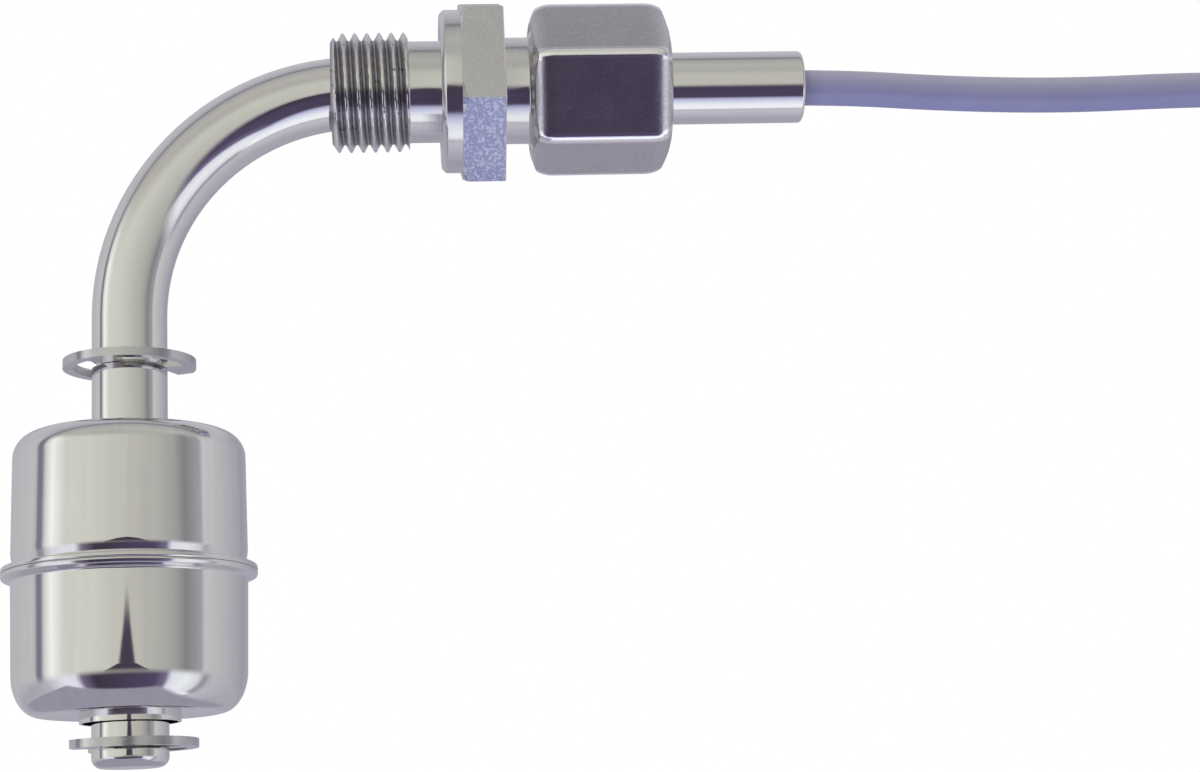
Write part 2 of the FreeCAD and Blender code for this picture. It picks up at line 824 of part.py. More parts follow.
def build_cores():
    """Two insulated cores along the tube's axis from the reed to the cable, and the bare return lead."""
    middle, low, high = reed_places()
    x, bend = stem_x.number, bend_radius.number
    jacket_end = (stub_x - named("jacket_inside")).number
    radius = named("core_dia").number / 2
    reed_y, return_y = named("reed_offset").number, named("core_offset").number
    lead_end = (low - named("lead_length")).number
    return_start = lead_end + named("return_rise").number
    signal_start = (high + named("lead_length")).number
    starts = (("signal_core", reed_y, signal_start), ("return_core", return_y, return_start))
    for label, y, z in starts:
        corner = Vector(x + bend - bend * math.cos(math.pi / 4), y, -bend + bend * math.sin(math.pi / 4))
        wire = Part.Wire(
            [
                Part.LineSegment(Vector(x, y, z), Vector(x, y, -bend)).toShape(),
                Part.Arc(Vector(x, y, -bend), corner, Vector(x + bend, y, 0)).toShape(),
                Part.LineSegment(Vector(x + bend, y, 0), Vector(jacket_end, y, 0)).toShape(),
            ]
        )
        placed_shape(label, tube_along(wire, radius))
    turn = (return_y - reed_y) / 2
    wire = Part.Wire(
        [
            Part.Arc(
                Vector(x, reed_y, lead_end),
                Vector(x, reed_y + turn, lead_end - turn),
                Vector(x, return_y, lead_end),
            ).toShape(),
            Part.LineSegment(Vector(x, return_y, lead_end), Vector(x, return_y, return_start)).toShape(),
        ]
    )
    placed_shape("return_lead", tube_along(wire, named("lead_dia").number / 2))


# ---- cable --------------------------------------------------------------------------------------
# Route of the cable's axis (x, y, z): out of the stub, level, then over and down to the coil.
CABLE_ROUTE = [
    (33.5, 0.0, 0.0),
    (47.0, 0.0, 0.0),
    (60.5, 0.0, -1.05),
    (74.0, 0.0, -1.5),
    (88.0, 0.0, -1.0),
    (100.0, 0.0, -1.1),
    (111.2, 0.0, -7.7),
    (117.8, 0.0, -18.9),
    (117.8, 0.0, -32.0),
]
COIL_DROP = 6.0      # coil centre below the end of the laid stretch
# The free end leaves the coil's side downwards.
TAIL_ROUTE = [(117.8, -4.0, -45.4), (118.1, -4.0, -50.5), (117.6, -4.0, -55.5)]


def coil_centre():
    x, y, z = CABLE_ROUTE[-1]
    turn = named("coil_turn_radius").number + named("cable_dia").number / 2
    return Vector(x + turn, y, z - COIL_DROP)


def build_cable():
    """The laid stretch, the closed solid of the coil, its tie, and the free end with two stripped cores."""
    centre = coil_centre()
    outer = named("coil_turn_radius") + named("coil_depth") / 2
    inner = named("coil_turn_radius") - named("coil_depth") / 2
    half = named("coil_width") / 2
    coil = new_body("cable_coil")
    turned(coil, "coil_turned", "Z", [(-half, inner), (-half, outer), (half, outer), (half, inner)])
    edges = [(radius, side, "Z") for radius in (inner, outer) for side in (-half, half)]
    round_rings(coil, "coil_rounds", named("coil_round"), edges)
    coil.Placement = Placement(centre, Rotation(Vector(1, 0, 0), 90))
    doc.recompute()

    radius = named("cable_dia").number / 2
    for label, route in (("cable", CABLE_ROUTE), ("cable_tail", TAIL_ROUTE)):
        wire, radii = rounded_route([Vector(*point) for point in route])
        print(label, "length", round(wire.Length, 1), "radii", [round(value, 1) for value in radii])
        placed_shape(label, tube_along(wire, radius).cut(coil.Shape))

    turn = named("coil_turn_radius").number
    thick = named("tie_thickness").number
    wide = named("tie_width").number
    depth = named("coil_depth").number
    width = named("coil_width").number
    strap = Part.makeBox(depth + 2 * thick, width + 2 * thick, wide)
    strap.translate(Vector(turn - depth / 2 - thick, -width / 2 - thick, -wide / 2))
    head_size = named("tie_head").number
    head = Part.makeBox(head_size, wide, wide)
    head.translate(Vector(turn + depth / 2, -wide / 2, -wide / 2))
    tie = strap.fuse(head).removeSplitter()
    tie.Placement = Placement(centre, Rotation())
    placed_shape("coil_tie", tie.cut(coil.Shape))

    end = Vector(*TAIL_ROUTE[-1])
    along = (end - Vector(*TAIL_ROUTE[-2])).normalize()
    core_radius = named("core_dia").number / 2
    length = named("tail_core_length").number
    tinned_radius = named("tinned_dia").number / 2
    tinned_length = named("tinned_length").number
    for name, side in (("one", -1), ("two", 1)):
        start = end + Vector(0, side * named("tail_core_offset").number, 0)
        placed_shape(f"tail_core_{name}", Part.makeCylinder(core_radius, length, start, along))
        tip = Part.makeCylinder(tinned_radius, tinned_length, start + along * length, along)
        placed_shape(f"tinned_end_{name}", tip)


def build_entry_potting():
    """Resin that closes the tube round the cable jacket."""
    outer = bore_radius - named("fit_gap")
    inner = named("cable_dia") / 2 + named("potting_play")
    end = stub_x - named("potting_recess")
    start = end - named("potting_length")
    turned_body("entry_potting", "X", [(start, inner), (start, outer), (end, outer), (end, inner)])


build_stem_tube()
build_end_plug()
build_clip("upper")
build_clip("lower")
build_float_shell("float_upper_shell", 1, named("float_upper_round"))
build_float_shell("float_lower_shell", -1, named("float_lower_round"))
build_float_inside()
build_fitting_body()
build_cutting_ring()
build_union_nut()
build_reed_glass()
build_reed_blade("reed_upper_blade", 1)
build_reed_blade("reed_lower_blade", -1)
build_reed_sleeves()
build_cores()
build_cable()
build_entry_potting()
doc.recompute()

PIECES = [
    "stem_tube", "stem_end_plug", "upper_stop_clip", "lower_stop_clip",
    "float_upper_shell", "float_lower_shell", "float_bore_tube",
    "float_magnet", "magnet_lower_spacer", "magnet_upper_spacer",
    "fitting_body", "cutting_ring", "union_nut",
    "reed_glass", "reed_upper_blade", "reed_lower_blade", "reed_sleeve", "splice_sleeve",
    "signal_core", "return_core", "return_lead", "entry_potting",
    "cable", "cable_coil", "coil_tie", "cable_tail",
    "tail_core_one", "tail_core_two", "tinned_end_one", "tinned_end_two",
]


def check_and_write():
    for item in doc.Objects:
        if "Invalid" in item.State or "Error" in item.State:
            raise ValueError(f"{item.Label} did not build: {item.State}")
    found = {item.Label: item for item in doc.Objects}
    for label in PIECES:
        shape = found[label].Shape
        if shape.isNull() or not shape.isValid() or not shape.Solids:
            raise ValueError(f"{label} has no sound solid")
    os.makedirs("parts", exist_ok=True)
    for label in PIECES:
        shape = found[label].Shape
        shape.exportStep(f"parts/{label}.step")
        print(f"{label}: {len(shape.Solids)} solid, {shape.Volume:.1f} mm3")


check_and_write()
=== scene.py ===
import math

import bpy
import numpy as np
from mathutils import Matrix, Vector


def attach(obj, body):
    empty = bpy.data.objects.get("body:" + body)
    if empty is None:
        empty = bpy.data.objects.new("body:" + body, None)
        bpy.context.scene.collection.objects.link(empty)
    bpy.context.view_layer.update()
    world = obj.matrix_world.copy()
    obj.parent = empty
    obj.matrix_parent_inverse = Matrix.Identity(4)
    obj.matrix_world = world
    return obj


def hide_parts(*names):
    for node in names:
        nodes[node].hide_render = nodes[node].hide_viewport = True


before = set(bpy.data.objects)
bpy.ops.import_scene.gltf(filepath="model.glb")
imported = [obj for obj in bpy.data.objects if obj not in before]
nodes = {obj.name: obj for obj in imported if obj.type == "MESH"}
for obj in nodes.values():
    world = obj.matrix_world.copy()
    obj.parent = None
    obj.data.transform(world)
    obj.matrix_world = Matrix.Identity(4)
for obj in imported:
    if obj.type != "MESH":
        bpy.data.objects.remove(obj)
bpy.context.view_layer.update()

millimetre = 0.001  # all sizes below are in millimetres unless a note says metres
print("frame loaded:", len(nodes), "nodes")


sharpAngle = 32.0  # degrees, past which an edge between two faces is drawn sharp


# points is a grid of rows by columns that closes on itself both ways: each cell becomes one quad
def gridPiece(name, points, material, body):
    rows, columns = points.shape[:2]
    index = np.arange(rows * columns).reshape(rows, columns)
    below = np.roll(index, -1, 0)
    quads = np.stack([index, np.roll(index, -1, 1), np.roll(below, -1, 1), below], -1).reshape(-1, 4)
    mesh = bpy.data.meshes.new(name)
    mesh.vertices.add(rows * columns)
    mesh.vertices.foreach_set("co", points.reshape(-1).astype(np.float32))
    mesh.loops.add(quads.size)
    mesh.loops.foreach_set("vertex_index", quads.reshape(-1).astype(np.int32))
    mesh.polygons.add(len(quads))
    mesh.polygons.foreach_set("loop_start", np.arange(0, quads.size, 4, dtype=np.int32))
    mesh.update(calc_edges=True)
    mesh.validate()
    mesh.polygons.foreach_set("use_smooth", np.ones(len(mesh.polygons), bool))
    mesh.set_sharp_from_angle(angle=math.radians(sharpAngle))
    piece = bpy.data.objects.new(name, mesh)
    bpy.context.scene.collection.objects.link(piece)
    mesh.materials.append(material)
    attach(piece, body)
    return piece


# rows of (along, radius) turned about the X axis: y = radius cos(angle), z = radius sin(angle)
def turnAboutX(along, radius, angle):
    y = radius * np.cos(angle)
    z = radius * np.sin(angle)
    return np.stack(np.broadcast_arrays(along, y, z), -1) * millimetre


# the same about an upright axis: x = centreX + radius cos(angle), y = radius sin(angle), z = height
def turnAboutZ(height, radius, angle, centreX):
    x = centreX + radius * np.cos(angle)
    y = radius * np.sin(angle)
    return np.stack(np.broadcast_arrays(x, y, height), -1) * millimetre


# replaces each corner (along, radius, reach before it, reach after it) of a polyline by an arc: a rational
# curve whose middle weight is the cosine of half the turn; one reach for both sides gives a true circle
def easedProfile(corners, steps=4, share=0.45):
    points = np.array([corner[:2] for corner in corners], float)
    out = [points[:1]]
    for k in range(1, len(points) - 1):
        ease = corners[k][2] if len(corners[k]) > 2 else 0.0
        if ease <= 0:
            out.append(points[k:k + 1])
            continue
        into = points[k - 1] - points[k]
        away = points[k + 1] - points[k]
        intoLength, awayLength = np.linalg.norm(into), np.linalg.norm(away)
        start = points[k] + into / intoLength * min(ease, share * intoLength)
        end = points[k] + away / awayLength * min(corners[k][-1], share * awayLength)
        cosine = max(-1.0, min(1.0, float(into @ away) / (intoLength * awayLength)))
        weight = math.cos(math.pi / 2 - 0.5 * math.acos(cosine))
        t = np.linspace(0, 1, steps + 1)[:, None]
        first, middle, last = (1 - t)**2, 2 * weight * t * (1 - t), t**2
        out.append((first * start + middle * points[k] + last * end) / (first + middle + last))
    out.append(points[-1:])
    return np.concatenate(out)


# an eased profile as two grids, place and radius, with the same row at each of count angles
def profileRows(corners, count):
    line = easedProfile(corners)
    return np.repeat(line[:, :1], count, 1), np.repeat(line[:, 1:2], count, 1)


# a shader group with sockets from (label, kind, value) inputs and (label, kind) outputs
def newGroup(name, inputs, outputs):
    tree = bpy.data.node_groups.new(name, "ShaderNodeTree")
    for label, kind, value in inputs:
        socket = tree.interface.new_socket(name=label, in_out="INPUT", socket_type=kind)
        if value is not None:
            socket.default_value = value
    for label, kind in outputs:
        tree.interface.new_socket(name=label, in_out="OUTPUT", socket_type=kind)
    return tree, tree.nodes.new("NodeGroupInput"), tree.nodes.new("NodeGroupOutput")


# one node with its socket values, its incoming links and its own settings
def addNode(tree, kind, values=None, links=None, **settings):
    node = tree.nodes.new(kind)
    for key, value in settings.items():
        setattr(node, key, value)
    for key, value in (values or {}).items():
        node.inputs[key].default_value = value
    for key, source in (links or {}).items():
        tree.links.new(source, node.inputs[key])
    return node


# one Math node; each operand is a number or another node's output
def mathNode(tree, operation, first, second=None, third=None):
    node = tree.nodes.new("ShaderNodeMath")
    node.operation = operation
    for slot, item in enumerate((first, second, third)):
        if item is None:
            continue
        if isinstance(item, (int, float)):
            node.inputs[slot].default_value = item
        else:
            tree.links.new(item, node.inputs[slot])
    return node.outputs[0]


# first where the mask is 0 and second where it is 1; sockets 0, 6 and 7 are the colour mix's own
def mixColour(tree, mask, first, second):
    node = addNode(tree, "ShaderNodeMix", links={0: mask}, data_type="RGBA")
    for key, item in ((6, first), (7, second)):
        if isinstance(item, tuple):
            node.inputs[key].default_value = (*item, 1.0)
        else:
            tree.links.new(item, node.inputs[key])
    return node.outputs[2]


# 0 at the first value and 1 at the second, eased at both ends
def easeBetween(tree, value, first, second):
    node = addNode(tree, "ShaderNodeMapRange", {"From Min": first, "From Max": second}, {"Value": value},
                   interpolation_type="SMOOTHSTEP")
    return node.outputs[0]


# low where the value is 0 and high where it is 1, in a straight line
def spreadTo(tree, value, low, high):
    return addNode(tree, "ShaderNodeMapRange", {"To Min": low, "To Max": high}, {"Value": value}).outputs[0]


# 0 below the first value and 1 above the second, in a straight line
def cutBetween(tree, value, first, second):
    return addNode(tree, "ShaderNodeMapRange", {"From Min": first, "From Max": second},
                   {"Value": value}).outputs[0]


# noise on a place; its scale is a number or another node's output
def noiseOn(tree, place, scale, detail, roughness=0.5):
    node = addNode(tree, "ShaderNodeTexNoise", {"Detail": detail, "Roughness": roughness}, {"Vector": place})
    if isinstance(scale, float):
        node.inputs["Scale"].default_value = scale
    else:
        tree.links.new(scale, node.inputs["Scale"])
    return node.outputs["Fac"]


grainSettings = {"lineDetail": 3.0, "lineRoughness": 0.6, "cloudDetail": 4.0, "cloudRoughness": 0.55,
                 "smudgeCut": (0.42, 0.7), "smudgeHeight": 0.5}


# long fine marks: noise stretched by the three scales, with smudges laid over it
def makeGrainGroup(settings):
    tree, given, result = newGroup(
        "steelGrain",
        [("Vector", "NodeSocketVector", None), ("Stretch", "NodeSocketVector", (1.0, 1.0, 1.0)),
         ("Smudge Scale", "NodeSocketFloat", 120.0), ("Smudge Amount", "NodeSocketFloat", 0.3)],
        [("Lines", "NodeSocketFloat"), ("Smudge", "NodeSocketFloat"), ("Height", "NodeSocketFloat")],
    )
    stretched = addNode(tree, "ShaderNodeVectorMath", operation="MULTIPLY",
                        links={0: given.outputs["Vector"], 1: given.outputs["Stretch"]})
    lines = noiseOn(tree, stretched.outputs[0], 1.0, settings["lineDetail"], settings["lineRoughness"])
    cloud = noiseOn(tree, given.outputs["Vector"], given.outputs["Smudge Scale"], settings["cloudDetail"],
                    settings["cloudRoughness"])
    smudge = mathNode(tree, "MULTIPLY", cutBetween(tree, cloud, *settings["smudgeCut"]),
                      given.outputs["Smudge Amount"])
    height = mathNode(tree, "ADD", lines, mathNode(tree, "MULTIPLY", smudge, settings["smudgeHeight"]))
    tree.links.new(lines, result.inputs["Lines"])
    tree.links.new(smudge, result.inputs["Smudge"])
    tree.links.new(height, result.inputs["Height"])
    return tree


blastSettings = {"detail": 2.0, "roughness": 0.7, "fleckCut": (0.48, 0.62)}


# small pits and bright flecks, as blasting leaves them: fine noise and its upper part
def makeBlastGroup(settings):
    tree, given, result = newGroup(
        "blastedGrain",
        [("Vector", "NodeSocketVector", None), ("Grain", "NodeSocketFloat", 4000.0)],
        [("Fleck", "NodeSocketFloat"), ("Height", "NodeSocketFloat")],
    )
    fine = noiseOn(tree, given.outputs["Vector"], given.outputs["Grain"], settings["detail"],
                   settings["roughness"])
    tree.links.new(cutBetween(tree, fine, *settings["fleckCut"]), result.inputs["Fleck"])
    tree.links.new(fine, result.inputs["Height"])
    return tree


grainGroup = makeGrainGroup(grainSettings)
blastGroup = makeBlastGroup(blastSettings)
reliefDepths = {"grain": 0.00002, "blast": 0.00004, "skin": 0.00005}  # heights of the bumps, in metres


# a material with its shader, its constant values, and the place on the piece in object coordinates
def startMaterial(name, values):
    material = bpy.data.materials.new(name)
    material.use_nodes = True
    tree = material.node_tree
    shader = tree.nodes["Principled BSDF"]
    for key, value in values.items():
        shader.inputs[key].default_value = value
    place = tree.nodes.new("ShaderNodeTexCoord").outputs["Object"]
    return material, tree, shader, place


# a group placed in a material, with its links and its own values
def placeGroup(tree, group, links, values):
    node = addNode(tree, "ShaderNodeGroup", node_tree=group)
    for key, value in values.items():
        node.inputs[key].default_value = value
    for key, source in links.items():
        tree.links.new(source, node.inputs[key])
    return node.outputs


# the grain group with one look's stretch and smudges
def placeGrain(tree, place, look):
    return placeGroup(tree, grainGroup, {"Vector": place},
                      {"Stretch": look["stretch"], "Smudge Scale": look["smudgeScale"],
                       "Smudge Amount": look["smudge"]})


# colour, roughness and relief into the shader; distance is the relief's height in metres
def giveSurface(tree, shader, colour, rough, height, strength, distance):
    bump = addNode(tree, "ShaderNodeBump", {"Strength": strength, "Distance": distance}, {"Height": height})
    tree.links.new(colour, shader.inputs["Base Color"])
    tree.links.new(rough, shader.inputs["Roughness"])
    tree.links.new(bump.outputs[0], shader.inputs["Normal"])


# polished or brushed steel: colour varied by grain and smudges, roughness raised by both
def steelMaterial(name, look):
    material, tree, shader, place = startMaterial(name, {"Metallic": 1.0})
    grain = placeGrain(tree, place, look)
    tint = mixColour(tree, grain["Lines"], look["dark"], look["light"])
    colour = mixColour(tree, grain["Smudge"], tint, look["stain"])
    rough = spreadTo(tree, grain["Height"], *look["rough"])
    giveSurface(tree, shader, colour, rough, grain["Height"], look["bump"], reliefDepths["grain"])
    return material


steelLooks = {
    "tube": {
        "stretch": (2600.0, 2600.0, 260.0), "smudgeScale": 90.0, "smudge": 0.2, "rough": (0.03, 0.075),
        "bump": 0.03, "dark": (0.75, 0.745, 0.735), "light": (0.80, 0.795, 0.785),
        "stain": (0.68, 0.67, 0.68)},
    "float": {
        "stretch": (1100.0, 1100.0, 45.0), "smudgeScale": 110.0, "smudge": 0.25, "rough": (0.025, 0.06),
        "bump": 0.02, "dark": (0.71, 0.705, 0.695), "light": (0.84, 0.835, 0.825),
        "stain": (0.70, 0.69, 0.70)},
    "clip": {
        "stretch": (1500.0, 1500.0, 4000.0), "smudgeScale": 400.0, "smudge": 0.4, "rough": (0.10, 0.24),
        "bump": 0.15, "dark": (0.54, 0.535, 0.56), "light": (0.68, 0.675, 0.69), "stain": (0.40, 0.39, 0.42)},
    "turned": {
        "stretch": (6000.0, 120.0, 120.0), "smudgeScale": 220.0, "smudge": 0.3, "rough": (0.06, 0.14),
        "bump": 0.12, "dark": (0.70, 0.695, 0.69), "light": (0.79, 0.785, 0.775),
        "stain": (0.56, 0.55, 0.57)},
    "wedge": {
        "stretch": (5000.0, 150.0, 150.0), "smudgeScale": 300.0, "smudge": 0.3, "rough": (0.25, 0.4),
        "bump": 0.2, "dark": (0.50, 0.50, 0.49), "light": (0.62, 0.62, 0.60), "stain": (0.40, 0.38, 0.36)},
    "tinned": {
        "stretch": (9000.0, 9000.0, 700.0), "smudgeScale": 700.0, "smudge": 0.2, "rough": (0.3, 0.45),
        "bump": 0.6, "dark": (0.60, 0.59, 0.57), "light": (0.78, 0.77, 0.75), "stain": (0.50, 0.46, 0.42)},
    "reed": {
        "stretch": (3000.0, 3000.0, 800.0), "smudgeScale": 500.0, "smudge": 0.2, "rough": (0.15, 0.25),
        "bump": 0.1, "dark": (0.62, 0.60, 0.56), "light": (0.74, 0.72, 0.68), "stain": (0.5, 0.48, 0.45)},
}
tubeSteel = steelMaterial("polishedTubeSteel", steelLooks["tube"])
floatSteel = steelMaterial("drawnFloatSteel", steelLooks["float"])
clipSteel = steelMaterial("stampedSpringSteel", steelLooks["clip"])
turnedSteel = steelMaterial("turnedSteel", steelLooks["turned"])
wedgeSteel = steelMaterial("hardenedRingSteel", steelLooks["wedge"])
tinnedCopper = steelMaterial("tinnedStrands", steelLooks["tinned"])
reedMetal = steelMaterial("platedReedMetal", steelLooks["reed"])

# the grooves' darker colour is painted shade; the pits are the steel's own
threadLook = {
    "grooveLow": 0.00575, "grooveHigh": 0.00635, "grooveShadeShare": 0.75, "groove": (0.24, 0.225, 0.27),  # metres
    "pitScale": 700.0, "pitEdge": (0.16, 0.08), "pitShare": 0.8, "pit": (0.10, 0.09, 0.09),
    "rough": (0.12, 0.32), "bump": 0.15,
}


# turned steel with groove bottoms rougher and darker by painted shade, by distance from the X axis, and a few
# dark pits
def threadMaterial(steel, look):
    material, tree, shader, place = startMaterial("threadSteel", {"Metallic": 1.0})
    grain = placeGrain(tree, place, steel)
    x, y, z = addNode(tree, "ShaderNodeSeparateXYZ", links={0: place}).outputs
    outward = mathNode(tree, "SQRT", mathNode(tree, "MULTIPLY_ADD", y, y, mathNode(tree, "MULTIPLY", z, z)))
    groove = easeBetween(tree, outward, look["grooveHigh"], look["grooveLow"])
    pits = addNode(tree, "ShaderNodeTexVoronoi", {"Scale": look["pitScale"]}, {"Vector": place})
    pit = easeBetween(tree, pits.outputs["Distance"], *look["pitEdge"])
    tint = mixColour(tree, grain["Lines"], steel["dark"], steel["light"])
    grooveShaded = mixColour(tree, mathNode(tree, "MULTIPLY", groove, look["grooveShadeShare"]), tint, look["groove"])
    colour = mixColour(tree, mathNode(tree, "MULTIPLY", pit, look["pitShare"]), grooveShaded, look["pit"])
    rough = spreadTo(tree, groove, *look["rough"])
    giveSurface(tree, shader, colour, rough, grain["Height"], look["bump"], reliefDepths["grain"])
    return material


threadSteel = threadMaterial(steelLooks["turned"], threadLook)

# the near-white colour of the nut's rounded edges is real wear and also a painted highlight; smudges and
# flecks are the steel's own
blastedCloud = {"stretch": (300.0, 300.0, 300.0), "smudgeScale": 160.0, "smudge": 0.5, "fleckShare": 0.6,
                "wornAndHighlit": (0.93, 0.93, 0.94), "wearAndHighlightRoughness": 0.35}
# satin steel of the nut, and the milled and the blasted flats of the hexagon; the blasted flats face down,
# and their darker blue colour is painted shade with blue light from below
blastedLooks = {
    "nut": {"dark": (0.52, 0.51, 0.53), "light": (0.60, 0.59, 0.60), "fleck": (0.70, 0.69, 0.71),
            "grain": 2600.0, "rough": (0.18, 0.28), "bump": 0.25},
    "milled": {"dark": (0.58, 0.57, 0.58), "light": (0.65, 0.64, 0.65), "fleck": (0.74, 0.73, 0.75),
               "grain": 3000.0, "rough": (0.30, 0.42), "bump": 0.3},
    "coarseShadedBlue": {"dark": (0.36, 0.375, 0.58), "light": (0.40, 0.415, 0.62), "fleck": (0.84, 0.86, 0.98),
               "grain": 2600.0, "rough": (0.34, 0.5), "bump": 0.9},
}


# satin or blasted steel: clouded colour with flecks, brighter and smoother where the point attribute for edge
# wear is 1: on the nut's rounded edges, partly real wear and partly a painted highlight
def blastedMaterial(name, look, cloud):
    material, tree, shader, place = startMaterial(name, {"Metallic": 1.0})
    grain = placeGrain(tree, place, cloud)
    blast = placeGroup(tree, blastGroup, {"Vector": place}, {"Grain": look["grain"]})
    base = mixColour(tree, grain["Smudge"], look["light"], look["dark"])
    flecks = mathNode(tree, "MULTIPLY", blast["Fleck"], cloud["fleckShare"])
    flecked = mixColour(tree, flecks, base, look["fleck"])
    wearAndHighlight = addNode(tree, "ShaderNodeAttribute", attribute_name="wearAndHighlight").outputs["Fac"]
    colour = mixColour(tree, wearAndHighlight, flecked, cloud["wornAndHighlit"])
    rough = mathNode(tree, "MULTIPLY", spreadTo(tree, grain["Lines"], *look["rough"]),
                     spreadTo(tree, wearAndHighlight, 1.0, cloud["wearAndHighlightRoughness"]))
    giveSurface(tree, shader, colour, rough, blast["Height"], look["bump"], reliefDepths["blast"])
    return material


nutSteel = blastedMaterial("satinNutSteel", blastedLooks["nut"], blastedCloud)
flatSteel = blastedMaterial("milledFlatSteel", blastedLooks["milled"], blastedCloud)
# the steel of the flats that face down, darkened and tinted blue as painted shade
shadedBlueFlatSteel = blastedMaterial("blastedFlatSteelShadedBlue", blastedLooks["coarseShadedBlue"], blastedCloud)


plasticNoise = {"cloudDetail": 4.0, "cloudRoughness": 0.6, "skinDetail": 3.0, "skinRoughness": 0.65}


# plastics and ferrite: two tones mixed by noise, with a fine skin
def plasticMaterial(name, look):
    material, tree, shader, place = startMaterial(name, {"Specular IOR Level": 0.45})
    cloud = noiseOn(tree, place, look["cloud"], plasticNoise["cloudDetail"], plasticNoise["cloudRoughness"])
    skin = noiseOn(tree, place, look["skin"], plasticNoise["skinDetail"], plasticNoise["skinRoughness"])
    colour = mixColour(tree, cloud, look["dark"], look["light"])
    rough = spreadTo(tree, skin, *look["rough"])
    giveSurface(tree, shader, colour, rough, skin, look["bump"], reliefDepths["skin"])
    return material


plasticLooks = {
    "jacket": {"dark": (0.235, 0.23, 0.30), "light": (0.285, 0.28, 0.35), "cloud": 160.0, "skin": 2600.0,
               "rough": (0.3, 0.46), "bump": 0.25},
    "brown": {"dark": (0.16, 0.07, 0.035), "light": (0.22, 0.10, 0.05), "cloud": 400.0, "skin": 3000.0,
              "rough": (0.28, 0.4), "bump": 0.15},
    "blue": {"dark": (0.03, 0.10, 0.32), "light": (0.05, 0.15, 0.42), "cloud": 400.0, "skin": 3000.0,
             "rough": (0.28, 0.4), "bump": 0.15},
    "resin": {"dark": (0.02, 0.02, 0.022), "light": (0.05, 0.05, 0.055), "cloud": 500.0, "skin": 1800.0,
              "rough": (0.35, 0.55), "bump": 0.4},
    "tie": {"dark": (0.018, 0.018, 0.02), "light": (0.035, 0.035, 0.038), "cloud": 300.0, "skin": 2400.0,
            "rough": (0.38, 0.5), "bump": 0.3},
    "sleeve": {"dark": (0.02, 0.02, 0.022), "light": (0.04, 0.04, 0.042), "cloud": 300.0, "skin": 2000.0,
               "rough": (0.45, 0.6), "bump": 0.3},
    "spacer": {"dark": (0.70, 0.68, 0.60), "light": (0.80, 0.78, 0.70), "cloud": 250.0, "skin": 1500.0,
               "rough": (0.4, 0.5), "bump": 0.2},
    "ferrite": {"dark": (0.035, 0.035, 0.04), "light": (0.07, 0.07, 0.075), "cloud": 600.0, "skin": 2500.0,
                "rough": (0.5, 0.7), "bump": 0.5},
}
cableJacket = plasticMaterial("cableJacketSkin", plasticLooks["jacket"])
coreBrown = plasticMaterial("brownCoreSkin", plasticLooks["brown"])
coreBlue = plasticMaterial("blueCoreSkin", plasticLooks["blue"])
pottingResin = plasticMaterial("castResin", plasticLooks["resin"])
tiePlastic = plasticMaterial("tieNylon", plasticLooks["tie"])
sleevePlastic = plasticMaterial("shrunkSleeve", plasticLooks["sleeve"])
spacerPlastic = plasticMaterial("spacerPlastic", plasticLooks["spacer"])
ferriteBlack = plasticMaterial("sinteredFerrite", plasticLooks["ferrite"])

glassLook = {"dark": (0.42, 0.68, 0.46), "light": (0.62, 0.82, 0.62), "streak": 900.0, "detail": 3.0,
             "rough": (0.02, 0.08)}


# clear green glass, its colour and roughness varied by fine streaks
def glassMaterial(look):
    material, tree, shader, place = startMaterial(
        "greenSealingGlass", {"Transmission Weight": 1.0, "IOR": 1.5, "Metallic": 0.0})
    streak = noiseOn(tree, place, look["streak"], look["detail"])
    tree.links.new(mixColour(tree, streak, look["dark"], look["light"]), shader.inputs["Base Color"])
    tree.links.new(spreadTo(tree, streak, *look["rough"]), shader.inputs["Roughness"])
    return material


sealingGlass = glassMaterial(glassLook)

nodeMaterials = {
    "stem_tube": tubeSteel, "stem_end_plug": tubeSteel, "upper_stop_clip": clipSteel,
    "lower_stop_clip": clipSteel, "float_upper_shell": floatSteel, "float_lower_shell": floatSteel,
    "float_bore_tube": floatSteel, "float_magnet": ferriteBlack, "magnet_lower_spacer": spacerPlastic,
    "magnet_upper_spacer": spacerPlastic, "fitting_body": turnedSteel, "cutting_ring": wedgeSteel,
    "union_nut": nutSteel, "reed_glass": sealingGlass, "reed_upper_blade": reedMetal,
    "reed_lower_blade": reedMetal, "return_lead": reedMetal, "reed_sleeve": sleevePlastic,
    "splice_sleeve": sleevePlastic, "signal_core": coreBrown, "return_core": coreBlue,
    "entry_potting": pottingResin, "cable": cableJacket, "cable_coil": cableJacket, "cable_tail": cableJacket,
    "coil_tie": tiePlastic, "tail_core_one": coreBrown, "tail_core_two": coreBlue,
    "tinned_end_one": tinnedCopper, "tinned_end_two": tinnedCopper,
}
for nodeName, material in nodeMaterials.items():
    mesh = nodes[nodeName].data
    mesh.materials.clear()
    mesh.materials.append(material)
print("materials given to", len(nodeMaterials), "nodes")

